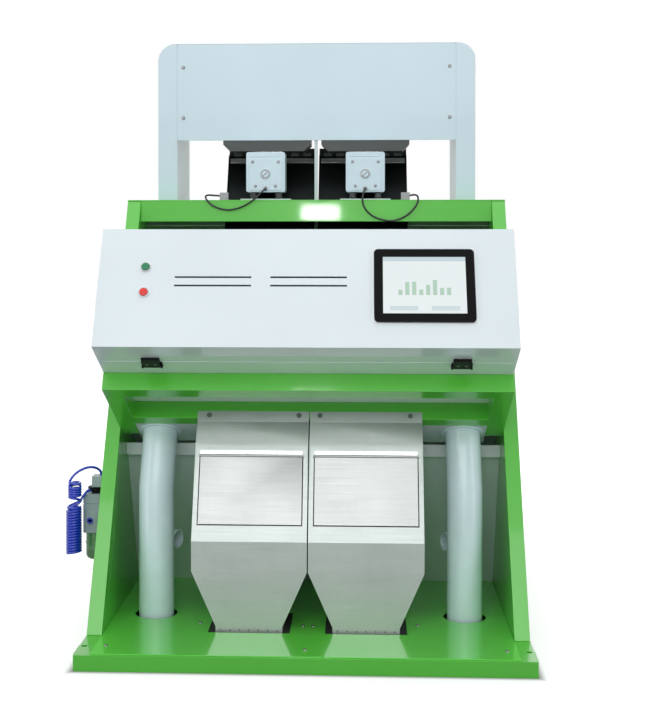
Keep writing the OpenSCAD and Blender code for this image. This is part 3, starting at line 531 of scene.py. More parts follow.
def upright(points: np.ndarray) -> np.ndarray:
    """Points of the CAD frame as (x, v, u) beside the posts, the other way round from leaning.

    Args:
        points: rows of x, y and z.
    Returns:
        Rows of x, v and u.
    """
    x, y, z = points.T
    back, rise = y - POST_FOOT[0], z - POST_FOOT[1]
    v = rise * math.sin(LEAN) - back * math.cos(LEAN)
    u = rise * math.cos(LEAN) + back * math.sin(LEAN)
    return np.stack([x, v, u], axis=-1)


def node_points(node: str) -> np.ndarray:
    """The corner points of a CAD node's mesh.

    Args:
        node: the node's name.
    Returns:
        One row for each point.
    """
    mesh = frame["nodes"][node].data
    flat = np.empty(3 * len(mesh.vertices))
    mesh.vertices.foreach_get("co", flat)
    return flat.reshape(-1, 3)


@dataclass(frozen=True)
class Surface:
    """A shape's points, its faces' point numbers in a row, and how many each face has."""

    points: np.ndarray
    corners: np.ndarray
    counts: np.ndarray

    @classmethod
    def of_quads(cls, points: np.ndarray, quads: np.ndarray, *caps: np.ndarray) -> "Surface":
        """A shape of quads and of caps with any number of corners.

        Args:
            points: one row for each point.
            quads: four point numbers in each row.
            caps: the point numbers round each cap.
        Returns:
            The shape.
        """
        counts = np.array([4] * len(quads) + [len(cap) for cap in caps])
        return cls(points, np.concatenate([quads.ravel(), *caps]), counts)

    @classmethod
    def joined(cls, shapes: list["Surface"]) -> "Surface":
        """Several shapes as one: point numbers rise by the points that stand before them."""
        starts = np.cumsum([0] + [len(shape.points) for shape in shapes[:-1]])
        return cls(
            np.vstack([shape.points for shape in shapes]),
            np.concatenate([shape.corners + start for shape, start in zip(shapes, starts)]),
            np.concatenate([shape.counts for shape in shapes]),
        )

    def moved(self, by: Place) -> "Surface":
        """The shape shifted."""
        return replace(self, points=self.points + np.asarray(by))

    def turned(self, turn: Matrix, at: Place) -> "Surface":
        """The shape turned about the origin and then shifted."""
        return replace(self, points=self.points @ np.array(turn).T).moved(at)

    def aimed(self, at: Point, axis: Point) -> "Surface":
        """The shape with its +Z turned to lie along axis, and moved to at."""
        turn = Vector((0, 0, 1)).rotation_difference(Vector(axis)).to_matrix()
        return self.turned(turn, at)

    def leaned(self) -> "Surface":
        """The shape given as (x, v, u) beside the posts, in the CAD frame."""
        return replace(self, points=leaning(self.points))

    def mesh(self, name: str) -> bpy.types.Mesh:
        """The shape as a mesh whose faces point outwards.

        Args:
            name: the mesh's name.
        Returns:
            The new mesh.
        """
        mesh = bpy.data.meshes.new(name)
        mesh.vertices.add(len(self.points))
        mesh.vertices.foreach_set("co", self.points.ravel())
        mesh.loops.add(len(self.corners))
        mesh.loops.foreach_set("vertex_index", self.corners)
        mesh.polygons.add(len(self.counts))
        mesh.polygons.foreach_set("loop_start", np.cumsum(self.counts) - self.counts)
        mesh.update(calc_edges=True)
        work = bmesh.new()
        work.from_mesh(mesh)
        bmesh.ops.recalc_face_normals(work, faces=work.faces)
        work.to_mesh(mesh)
        work.free()
        return mesh


def grid_faces(rows: int, columns: int) -> np.ndarray:
    """Quads of a grid whose points run along columns first and whose last column joins the first.

    Args:
        rows: number of rows of points.
        columns: number of points in a row.
    Returns:
        An array with four point numbers in each row.
    """
    across = np.arange(columns)
    down = np.arange(rows - 1)[:, None] * columns
    following = (across + 1) % columns
    below = down + columns
    quads = [down + across, down + following, below + following, below + across]
    return np.stack(quads, axis=-1).reshape(-1, 4)


def closed_rings(points: np.ndarray) -> Surface:
    """Rings of points joined to a skin, with a flat cap at the first ring and at the last.

    Args:
        points: ring by ring, with the points of a ring in order.
    Returns:
        The shape.
    """
    rings, sides = points.shape[:2]
    ring = np.arange(sides)
    last = (rings - 1) * sides + ring
    return Surface.of_quads(points.reshape(-1, 3), grid_faces(rings, sides), ring[::-1], last)


def lathe(profile: np.ndarray, sides: int) -> Surface:
    """Surface of revolution about +Z: each (radius, height) of a profile swept round a circle.

    Args:
        profile: radii and heights from one end to the other.
        sides: number of steps round the circle.
    Returns:
        The shape, closed at both ends.
    """
    angle = np.linspace(0.0, 2.0 * np.pi, sides, endpoint=False)
    radius = profile[:, 0, None]
    height = np.broadcast_to(profile[:, 1, None], (len(profile), sides))
    return closed_rings(np.stack([radius * np.cos(angle), radius * np.sin(angle), height], axis=-1))


def tube(path: np.ndarray, radius: float, sides: int) -> Surface:
    """Round tube along a path: at each point a circle square to the path, one radius level.

    Args:
        path: the centre line's points.
        radius: the tube's radius.
        sides: number of steps round the circle.
    Returns:
        The shape, closed at both ends.
    """
    tangent = np.gradient(path, axis=0)
    tangent /= np.linalg.norm(tangent, axis=1, keepdims=True)
    level = np.cross(tangent, np.array([0.0, 0.0, 1.0]))
    level /= np.linalg.norm(level, axis=1, keepdims=True)
    steep = np.cross(tangent, level)
    angle = np.linspace(0.0, 2.0 * np.pi, sides, endpoint=False)[None, :, None]
    ring = np.cos(angle) * level[:, None, :] + np.sin(angle) * steep[:, None, :]
    return closed_rings(path[:, None, :] + radius * ring)


def border(width: float, height: float, rim: float, thick: float) -> Surface:
    """Flat rectangular ring in X and Z with its back at y = 0: four corners on each of four loops.

    Args:
        width, height: outer size.
        rim: width of the ring.
        thick: thickness towards -Y.
    Returns:
        The shape.
    """
    corner = np.array([[-0.5, -0.5], [0.5, -0.5], [0.5, 0.5], [-0.5, 0.5]])
    outer = corner * np.array([width, height])
    inner = corner * np.array([width - 2 * rim, height - 2 * rim])
    loops = [(outer, 0.0), (outer, -thick), (inner, -thick), (inner, 0.0)]
    points = np.vstack([np.insert(loop, 1, depth, axis=1) for loop, depth in loops])
    first = np.arange(len(corner))
    following = np.roll(first, -1)
    last = len(points) - len(corner)
    back = np.stack([last + first, last + following, following, first], axis=-1)
    return Surface.of_quads(points, np.vstack([grid_faces(len(loops), len(corner)), back]))


def bar(low: Point, high: Point) -> Surface:
    """Square bar between two corners: the unit cube's corners, stretched and shifted.

    Args:
        low: the lowest corner.
        high: the highest corner.
    Returns:
        The shape.
    """
    unit = np.array([
        [0, 0, 0], [1, 0, 0], [1, 1, 0], [0, 1, 0], [0, 0, 1], [1, 0, 1], [1, 1, 1], [0, 1, 1],
    ], float)
    quads = np.array([
        [0, 3, 2, 1], [4, 5, 6, 7], [0, 1, 5, 4], [1, 2, 6, 5], [2, 3, 7, 6], [3, 0, 4, 7],
    ])
    return Surface.of_quads(np.asarray(low) + unit * (np.asarray(high) - np.asarray(low)), quads)


HEAD_STEPS = 5
HEAD_SIDES = 16


def screw_head(radius: float, height: float, at: Point, axis: Point) -> Surface:
    """Domed screw head with a round socket: a quarter ellipse that dips to a flat-bottomed hole.

    Args:
        radius, height: size of the head.
        at: middle of the face that it sits on.
        axis: direction in which it stands.
    Returns:
        The shape.
    """
    turn = np.linspace(0.0, 0.42 * np.pi, HEAD_STEPS)
    dome = np.stack([radius * np.cos(turn), height * np.sin(turn) / np.sin(turn[-1])], axis=-1)
    socket, floor = 0.42 * radius, 0.45 * height
    hole = [[socket, height], [0.9 * socket, floor], [0.05 * socket, floor]]
    return lathe(np.vstack([[[0.98 * radius, 0.0]], dome[1:], hole]), HEAD_SIDES).aimed(at, axis)


def catmull_rom(points: np.ndarray, steps: int) -> np.ndarray:
    """Smooth curve through points: each span is the cubic whose slopes come from the neighbours.

    Args:
        points: the points in order.
        steps: number of parts in a span.
    Returns:
        The points of the curve.
    """
    padded = np.vstack([2 * points[0] - points[1], points, 2 * points[-1] - points[-2]])
    share = np.linspace(0.0, 1.0, steps, endpoint=False)[None, :, None]
    a, b, c, d = (padded[k:len(padded) - 3 + k, None, :] for k in range(4))
    spans = 0.5 * (
        2 * b + (c - a) * share + (2 * a - 5 * b + 4 * c - d) * share ** 2
        + (3 * b - a - 3 * c + d) * share ** 3
    )
    return np.vstack([spans.reshape(-1, 3), points[-1]])


def path_length(points: np.ndarray) -> float:
    """Length of a line through points."""
    return float(np.linalg.norm(np.diff(points, axis=0), axis=1).sum())


def entered(name: str, data: bpy.types.ID) -> bpy.types.Object:
    """Puts a mesh, curve, lamp or camera into the scene.

    Args:
        name: the object's name.
        data: what it shows.
    Returns:
        The new object.
    """
    piece = bpy.data.objects.new(name, data)
    bpy.context.scene.collection.objects.link(piece)
    return piece


def shade(mesh: bpy.types.Mesh, degrees: float) -> None:
    """Shades a mesh smooth, with the edges sharp that turn by more than an angle."""
    mesh.polygons.foreach_set("use_smooth", np.ones(len(mesh.polygons), dtype=bool))
    mesh.set_sharp_from_angle(angle=math.radians(degrees))


class Bench:
    """Puts pieces and finishes on the frame's bodies."""

    weld: float = 2e-6
    flat: float = math.radians(0.8)
    sharp: float = 35.0
    corner: float = math.radians(40.0)
    cord_steps: int = 3

    def __init__(self) -> None:
        """Makes the materials and reads which body and slot each node has."""
        self.materials = {finish: finish.value.material() for finish in Finish}
        groups = frame["record"]["behaviour"]["bodies"]
        self.body_of = {node: body for body, nodes in groups.items() for node in nodes}
        self.slot_of = {s["node"]: s["material_slot"] for s in frame["record"]["subparts"]}

    def carry(self, piece: bpy.types.Object, body: str, *nodes: str) -> None:
        """Puts a piece on a body, in the place of any nodes that it stands for."""
        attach(piece, body)
        if nodes:
            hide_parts(*nodes)

    def paint(self, node: str, material: bpy.types.Material) -> None:
        """Gives a CAD node a finish and leaves its shape alone.

        Args:
            node: the CAD node.
            material: its finish as a material.
        """
        mesh = frame["nodes"][node].data
        mesh.materials.clear()
        mesh.materials.append(material)
        LOG.info("finish %s on %s", material.name, node)

    def soften(self, node: str, finish: Finish, width: float, segments: int) -> None:
        """Stands a copy with rounded edges in a node's place.

        Args:
            node: the CAD node.
            finish: its finish.
            width: width of the rounding.
            segments: steps of the rounding.
        """
        mesh = frame["nodes"][node].data.copy()
        work = bmesh.new()
        work.from_mesh(mesh)
        bmesh.ops.remove_doubles(work, verts=work.verts, dist=self.weld)
        bmesh.ops.dissolve_limit(
            work, angle_limit=self.flat, verts=work.verts, edges=work.edges,
            use_dissolve_boundaries=False,
        )
        work.to_mesh(mesh)
        work.free()
        shade(mesh, self.sharp)
        mesh.materials.clear()
        mesh.materials.append(self.materials[finish])
        piece = entered(node + "_dressed", mesh)
        rounding = piece.modifiers.new("edges", "BEVEL")
        rounding.width = width
        rounding.segments = segments
        rounding.limit_method = "ANGLE"
        rounding.angle_limit = self.corner
        rounding.harden_normals = True
        self.carry(piece, self.body_of[node], node)
        LOG.info("softened %s by %.1f mm", node, width / MM)

    def add(self, name: str, shape: Surface, body: str, finish: Finish, degrees: float = sharp,
            nodes: tuple[str, ...] = ()) -> None:
        """Adds a new piece.

        Args:
            name: the piece's name.
            shape: its points and faces.
            body: the CAD body that carries it.
            finish: its finish.
            degrees: angle below which edges are shaded smooth.
            nodes: CAD nodes that it replaces, if any.
        """
        mesh = shape.mesh(name)
        shade(mesh, degrees)
        mesh.materials.append(self.materials[finish])
        self.carry(entered(name, mesh), body, *nodes)
        LOG.info("piece %s with %d faces", name, len(mesh.polygons))

    def cord(self, name: str, path: np.ndarray, radius: float, finish: Finish,
             nodes: tuple[str, ...]) -> bpy.types.Object:
        """Adds a round cord as a curve of one spline that stands for its CAD solids.

        Args:
            name: the piece's name.
            path: the centre line's points.
            radius: the cord's radius.
            finish: its finish.
            nodes: the CAD nodes that it replaces.
        Returns:
            The new piece.
        """
        curve = bpy.data.curves.new(name, "CURVE")
        curve.dimensions = "3D"
        curve.bevel_depth = radius
        curve.bevel_resolution = self.cord_steps
        curve.use_fill_caps = True
        spline = curve.splines.new("POLY")
        spline.points.add(len(path) - 1)
        spline.points.foreach_set("co", np.insert(path, 3, 1.0, axis=1).ravel())
        spline.use_smooth = True
        curve.materials.append(self.materials[finish])
        piece = entered(name, curve)
        self.carry(piece, "frame", *nodes)
        LOG.info("cord %s is %.3f m long", name, path_length(path))
        return piece


# Sub-assemblies


@dataclass
class SubAssembly:
    """Nodes that are dressed together, and the small pieces that belong to them.

    A row of soft holds a finish, an edge width in millimetres, the steps of the rounding and the
    nodes. A row of plain holds a finish and the nodes whose shape is left alone.
    """

    bench: Bench
    soft: Rows = ()
    plain: Rows = ()

    def build(self) -> None:
        """Dresses the nodes and adds the small pieces."""
        for finish, edge, steps, *nodes in self.soft:
            for node in nodes:
                self.bench.soften(node, finish, edge * MM, steps)
        for finish, *nodes in self.plain:
            for node in nodes:
                self.bench.paint(node, self.bench.materials[finish])
        self.fit_out()

    def fit_out(self) -> None:
        """Adds the small pieces, where a sub-assembly has any."""


@dataclass
class BaseAndFrame(SubAssembly):
    """Painted base, posts, rails, panels, decks, shelf and rear door."""

    soft: Rows = (
        (Finish.GREEN, 1.6, 3, "base_frame", "front_posts", "rear_posts", "top_rails", "top_beams",
         "shelf_frame"),
        (Finish.GREEN, 0.5, 2, "side_panels", "top_decks", "rear_door"),
        (Finish.PLATE, 0.5, 2, "base_plate"),
        (Finish.ZINC, 0.4, 2, "panel_screws"),
    )
    plain: Rows = ((Finish.BRIGHT, "hinge_pins"),)
    screw_r: float = 5.5 * MM
    screw_h: float = 2.2 * MM
    screw_inset: float = 24.0 * MM
    foot_start: float = -0.26
    head_start: float = 0.36
    screws: tuple[int, int, int] = (6, 7, 3)

    def fit_out(self) -> None:
        """Rows of button-head screws along the foot, the back and the head of both side panels."""
        low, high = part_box("side_panels")
        inset = self.screw_inset
        end, bottom, top = high.y - inset, low.z + inset, high.z - inset
        on_foot, on_back, on_head = self.screws
        foot = [(y, bottom) for y in np.linspace(self.foot_start, end, on_foot)]
        back = [(end, z) for z in np.linspace(bottom, top, on_back)[1:]]
        head = [(y, top) for y in np.linspace(self.head_start, end, on_head)[:-1]]
        heads = [
            screw_head(self.screw_r, self.screw_h, (side * high.x, y, z), (float(side), 0.0, 0.0))
            for side in (-1, 1) for y, z in foot + back + head
        ]
        self.bench.add("side_screws", Surface.joined(heads), "frame", Finish.ZINC)


@dataclass
class Console(SubAssembly):
    """Hinged console with its touch panel, buttons and latches."""

    soft: Rows = (
        (Finish.WHITE, 2.0, 3, "console_box", "console_lid"),
        (Finish.BLACK, 0.8, 2, "latch_bases", "latch_lever_left", "latch_lever_right",
         "latch_keepers"),
        (Finish.START, 1.2, 3, "start_button"),
        (Finish.STOP, 1.2, 3, "stop_button"),
        (Finish.ALUMINIUM, 0.8, 2, "button_bezels"),
        (Finish.BEZEL, 1.5, 3, "screen_bezel"),
    )
    bezel_front: float = 0.5 * MM
    lip: float = 1.8 * MM
    lip_t: float = 1.2 * MM
    seam_in: float = 0.6 * MM
    seam_w: float = 2.6 * MM
    seam_t: float = 1.0 * MM
    seam_gap: float = 5.0 * MM
    seam_end: float = 14.0 * MM
    latch_screw_r: float = 4.0 * MM
    latch_screw_h: float = 1.6 * MM
    latch_screw_gap: float = 11.0 * MM
    latch_screw_back: float = 2.0 * MM
    latch_screw_drop: float = 3.0 * MM

    def fit_out(self) -> None:
        """Lights the touch panel and adds its lip, the lid's seam and the latch screws."""
        self.light_screen()
        self.add_screen_lip()
        self.add_seam()
        self.add_latch_screws()

    def light_screen(self) -> None:
        """Shows the display's picture on the glass."""
        low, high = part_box("screen_glass")
        tall = (high.z - low.z) / math.cos(LEAN)
        display = LitDisplay("lit_display", tuple((low + high) / 2), high.x - low.x, tall)
        self.bench.paint("screen_glass", display.material())

    def add_screen_lip(self) -> None:
        """Frames the touch panel with a thin bright lip that lies on the console's face."""
        bezel = upright(node_points("screen_bezel"))
        face = upright(node_points("console_lid"))[:, 1].max()
        front = bezel[bezel[:, 1] > bezel[:, 1].max() - self.bezel_front]
        wide, _, tall = np.ptp(front, axis=0) + 2 * self.lip
        middle = (front.max(axis=0) + front.min(axis=0)) / 2
        ring = border(wide, tall, 3 * self.lip, self.lip_t)
        at = (middle[0], face - SUNK + self.lip_t, middle[2])
        self.bench.add("screen_lip", ring.moved(at).leaned(), "lid", Finish.ALUMINIUM, CRISP)

    def add_seam(self) -> None:
        """Lays the lid's folded edge along the seam under the console, open at the two latches."""
        x, v, u = upright(node_points("console_lid")).T
        low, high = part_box("latch_lever_right")
        inner, outer = low.x - self.seam_gap, high.x + self.seam_gap
        end = x.max() - self.seam_end
        front = v.min() + self.seam_in
        bars = [
            bar((start, front, u.min() - self.seam_t), (stop, front + self.seam_w, u.min() + SUNK))
            for start, stop in ((-end, -outer), (-inner, inner), (outer, end))
        ]
        self.bench.add("lid_seam", Surface.joined(bars).leaned(), "lid", Finish.WHITE, CRISP)

    def add_latch_screws(self) -> None:
        """Sets two screws on the outer face of each latch lever."""
        down = (0.0, -math.sin(LEAN), -math.cos(LEAN))
        for side in SIDES:
            low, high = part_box("latch_lever_" + side)
            x, y, z = (low + high) / 2
            heads = [
                screw_head(
                    self.latch_screw_r, self.latch_screw_h,
                    (x + step, y + self.latch_screw_back, z - self.latch_screw_drop), down,
                )
                for step in (-self.latch_screw_gap, self.latch_screw_gap)
            ]
            self.bench.add("latch_screws_" + side, Surface.joined(heads), "latch_lever_" + side,
                           Finish.ZINC)


@dataclass
class Hood(SubAssembly):
    """White hood with its panels, feed hopper and centre strut."""

    soft: Rows = (
        (Finish.HOOD, 1.5, 3, "hood_shell"),
        (Finish.HOOD, 0.9, 2, "hood_panels"),
        (Finish.SHEET, 0.5, 2, "feed_hopper"),
        (Finish.INNER, 0.8, 2, "centre_strut"),
    )


@dataclass
class Feeders(SubAssembly):
    """Vibrating feed trays with their drives, springs and cables."""

    soft: Rows = (
        (Finish.TRAY, 0.5, 2, "feed_tray_left", "feed_tray_right"),
        (Finish.HOOD, 2.0, 3, "vibrator_housings"),
        (Finish.INNER, 0.6, 2, "vibrator_bases"),
        (Finish.ZINC, 0.8, 2, "cable_connectors"),
    )
    plain: Rows = ((Finish.HOOD, "vibrator_covers"), (Finish.BRIGHT, "leaf_springs"))
    wire_r: float = 1.7 * MM
    spring_out: float = 12.0 * MM
    core_r: float = 6.5 * MM
    turns: float = 3.4
    wire_points: int = 72
    wire_sides: int = 8
    core_sides: int = 16
    spring_smooth: float = 50.0
    boss_rise: float = 58.0 * MM
    boss_r: float = 10.1 * MM
    ring_w: float = 4.4 * MM
    ring_t: float = 0.5 * MM
    ring_back: float = 3.0 * MM
    ring_sides: int = 40
    slot_half: float = 9.2 * MM
    slot_r: float = 1.1 * MM
    cable_r: float = 3.0 * MM
    cable_steps: int = 6
    left_route: Route = (
        (-159, 0, 36), (-161, -10, 33), (-171, -17, 23), (-188, -19, 6), (-212, -18, -12),
        (-242, -16, -26), (-275, -14, -32), (-306, -13, -27), (-331, -12, -15), (-346, -7, 1),
        (-350, 4, 12), (-341, 15, 16), (-325, 21, 15), (-306, 22, 14),
    )
    right_route: Route = (
        (159, 0, 36), (158, -9, 33), (153, -16, 20), (150, -18, 3), (153, -17, -17),
        (165, -16, -37), (185, -14, -53), (211, -13, -63), (240, -12, -67), (268, -12, -61),
        (292, -12, -48), (311, -11, -30), (323, -8, -11), (326, -2, 5), (322, 9, 14),
        (312, 19, 16), (300, 22, 14),
    )

    def fit_out(self) -> None:
        """Paints shade into the stroke adjusters' grooves and slots, winds the springs and runs the
        cables.
        """
        low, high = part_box("feed_tray_right")
        lane = (low.x + high.x) / 2
        self.mark_bosses(lane)
        self.add_springs(lane)
        self.run_cables()

    def mark_bosses(self, lane: float) -> None:
        """Lays a grey ring round each cover's stroke adjuster as painted shade in its groove, and a
        dark bar across it as painted shade in its slot.

        Args:
            lane: distance of a feeder's middle from the machine's.
        """
        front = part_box("vibrator_covers")[0].y
        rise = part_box("vibrator_housings")[0].z + self.boss_rise
        inner, outer = self.boss_r, self.boss_r + self.ring_w
        ring = lathe(np.array([
            [inner, 0.0], [outer, 0.0], [outer, self.ring_t], [inner, self.ring_t], [inner, 0.0],
        ]), self.ring_sides)
        reach = self.slot_half * math.sqrt(0.5)
        slot_shade_line = np.array([[reach, 0.0, reach], [-reach, 0.0, -reach]])
        slot = tube(slot_shade_line, self.slot_r, self.wire_sides)
        ahead = (0.0, -1.0, 0.0)
        rings = [ring.aimed((x, front + self.ring_back, rise), ahead) for x in (-lane, lane)]
        slot_shades = [slot.moved((x, front + self.slot_r, rise)) for x in (-lane, lane)]
        # Painted shade: the grey ring stands for the shade in each adjuster's groove, the dark bar
        # for the shade in its slot.
        self.bench.add("boss_groove_shade", Surface.joined(rings), "frame", Finish.SPRING)
        self.bench.add("boss_slot_shade", Surface.joined(slot_shades), "frame", Finish.SPRING)

    def add_springs(self, lane: float) -> None:
        """Winds a spring on each isolator's rubber core: a tube along a helix.

        Args:
            lane: distance of a feeder's middle from the machine's.
        """
        low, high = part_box("isolator_springs")
        reach = high.x - lane - self.spring_out
        angle = np.linspace(0.0, 2.0 * np.pi * self.turns, self.wire_points)
        rise = np.linspace(low.z + self.wire_r, high.z - self.wire_r, self.wire_points)
        wound = self.spring_out - self.wire_r
        helix = np.stack([wound * np.cos(angle), wound * np.sin(angle), rise], axis=-1)
        coil = tube(helix, self.wire_r, self.wire_sides)
        ends = np.array([[self.core_r, low.z], [self.core_r, high.z]])
        core = lathe(ends, self.core_sides)
        places = [
            (middle + step, y, 0.0) for middle in (-lane, lane) for step in (-reach, reach)
            for y in (low.y + self.spring_out, high.y - self.spring_out)
        ]
        for name, shape, finish, nodes in (
            ("wound_springs", coil, Finish.SPRING, ("isolator_springs",)),
            ("spring_cores", core, Finish.RUBBER, ()),
        ):
            every = Surface.joined([shape.moved(place) for place in places])
            self.bench.add(name, every, "frame", finish, self.spring_smooth, nodes)

    def run_cables(self) -> None:
        """Runs each cable from its gland over the beam to its plug."""
        gland = np.array([0.0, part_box("cable_connectors")[0].y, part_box("vibrator_bases")[0].z])
        for side, route in zip(SIDES, (self.left_route, self.right_route)):
            path = catmull_rom(np.array(route) * MM + gland, self.cable_steps)
            piece = self.bench.cord("dressed_cable_" + side, path, self.cable_r, Finish.CABLE,
                                    ("vibrator_cable_" + side,))


@dataclass
class Optics(SubAssembly):
    """Chutes with their head lips, lamps, cameras and the sheets of the sorting room."""

    soft: Rows = (
        (Finish.CHUTE, 0.6, 2, "chutes"),
        (Finish.ALUMINIUM, 1.0, 2, "chute_supports", "lamp_bars"),
        (Finish.BLACK, 1.5, 2, "front_cameras"),
        (Finish.ALUMINIUM, 0.6, 2, "ejector_manifold"),
        (Finish.WHITE, 0.8, 2, "reject_slide"),
        (Finish.INNER, 0.6, 2, "optical_floor", "rear_optical_box"),
    )
    plain: Rows = ((Finish.GLASS, "front_glass"),)
    lip_rise: float = 36.0 * MM
    lip_lap: float = 12.0 * MM
    lip_t: float = 2.0 * MM
    clamp_low: float = 1.5 * MM
    clamp_high: float = 15.0 * MM
    clamp_w: float = 26.0 * MM
    clamp_t: float = 5.0 * MM
    clamps_at: tuple[float, ...] = (0.10, 0.24, 0.40, 0.60, 0.76, 0.90)

    def fit_out(self) -> None:
        """Folds a lip up at the head of each chute and bolts a row of clamps along it."""
        x, v, u = upright(node_points("chutes")).T
        inner, outer = np.abs(x).min(), np.abs(x).max()
        head, back = u.max(), v.min()
        front, half = back + self.lip_t, self.clamp_w / 2
        lips, clamps = [], []
        for start, stop in ((-outer, -inner), (inner, outer)):
            foot, top = head - self.lip_lap, head + self.lip_rise
            lips.append(bar((start, back, foot), (stop, front, top)))
            clamps += [
                bar((middle - half, front - SUNK, head + self.clamp_low),
                    (middle + half, front + self.clamp_t, head + self.clamp_high))
                for middle in start + np.array(self.clamps_at) * (stop - start)
            ]
        for name, shapes, finish in (
            ("chute_lips", lips, Finish.TRAY), ("lip_clamps", clamps, Finish.ZINC),
        ):
            self.bench.add(name, Surface.joined(shapes).leaned(), "frame", finish, CRISP)


@dataclass
class ProductHoppers(SubAssembly):
    """Stainless product hoppers with inspection flaps, dark strips of painted shadow round the flaps,
    hinge leaves, rivets and boots.
    """

    soft: Rows = (
        (Finish.SHEET, 0.6, 2, "hopper_left", "hopper_right"),
        (Finish.FLAP, 0.4, 2, "hopper_flap_left", "hopper_flap_right"),
        (Finish.RUBBER, 1.0, 2, "hopper_boots"),
    )
    face_run: tuple[float, float] = (100.0, 256.0)
    foot_band: float = 0.01 * MM
    flap_fit: float = 0.28 * MM
    gap_shadow_rim: float = 3.0 * MM
    gap_shadow_t: float = 0.25 * MM
    leaf_gap: float = 1.5 * MM
    leaf_h: float = 9.0 * MM
    leaf_t: float = 1.8 * MM
    rivet_r: float = 2.6 * MM
    rivet_h: float = 1.4 * MM
    rivets: int = 7
    rivet_reach: float = 78.0 * MM
    rivet_row: float = 4.0 * MM

    def fit_out(self) -> None:
        """Adds the dark strips of painted shadow round the flaps, the hinges' fixed leaves and the
        rivets.
        """
        for side in SIDES:
            self.add_flap_fittings(side)
            self.add_rivets(side)

    def face_frame(self, side: str) -> tuple[np.ndarray, float, float, Matrix]:
        """Where a flap lies on its hopper's sloping face.

        Args:
            side: left or right.
        Returns:
            The middle of the flap's foot on the face, the flap's width, its height with the
            hinge barrel, and the turn that carries an upright shape onto the face.
        """
        corners = node_points("hopper_flap_" + side)
        slope = math.atan2(*self.face_run)
        along = np.array([0.0, math.sin(slope), math.cos(slope)])
        normal = np.array([0.0, -math.cos(slope), math.sin(slope)])
        rise = corners @ along
        foot = corners[rise < rise.min() + self.foot_band]
        seat = foot[foot[:, 1].argmax()]
        x0, x1 = corners[:, 0].min(), corners[:, 0].max()
        origin = np.array([(x0 + x1) / 2, seat[1], seat[2]]) - self.flap_fit * normal
        return origin, float(x1 - x0), float(np.ptp(rise)), Matrix.Rotation(-slope, 3, "X")

    def add_flap_fittings(self, side: str) -> None:
        """Lays a dark strip round a flap as painted shadow of the gap round it, and the hinge's fixed
        leaf just above its barrel.

        Args:
            side: left or right.
        """
        origin, wide, tall, turn = self.face_frame(side)
        rim = self.gap_shadow_rim
        # The dark strip round the flap is painted shadow of the gap between the flap and the hopper's
        # face.
        gap_shadow = border(wide + 2 * rim, tall + rim, 3 * rim, self.gap_shadow_t)
        gap_shadow = gap_shadow.moved((0.0, 0.0, tall / 2 - rim / 2)).turned(turn, origin)
        foot = tall + self.leaf_gap
        leaf = bar((-wide / 2, -self.leaf_t, foot), (wide / 2, SUNK, foot + self.leaf_h))
        leaf = leaf.turned(turn, origin)
        self.bench.add("flap_gap_shadow_" + side, gap_shadow, "frame", Finish.RUBBER, CRISP)
        self.bench.add("hinge_leaf_" + side, leaf, "frame", Finish.BRIGHT, CRISP)

    def add_rivets(self, side: str) -> None:
        """Sets a row of rivets along the foot of a hopper's front face.

        Args:
            side: left or right.
        """
        low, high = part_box("hopper_" + side)
        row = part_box("base_plate")[1].z + self.rivet_row
        centre = (low.x + high.x) / 2
        heads = [
            screw_head(self.rivet_r, self.rivet_h, (centre + x, low.y, row), (0.0, -1.0, 0.0))
            for x in np.linspace(-self.rivet_reach, self.rivet_reach, self.rivets)
        ]
        self.bench.add("hopper_rivets_" + side, Surface.joined(heads), "frame", Finish.ZINC)


@dataclass
class DustDucts(SubAssembly):
    """White dust pipes with their flanges and suction branches."""

    soft: Rows = ((Finish.DUCT, 0.8, 2, "dust_pipes", "dust_branches"),)


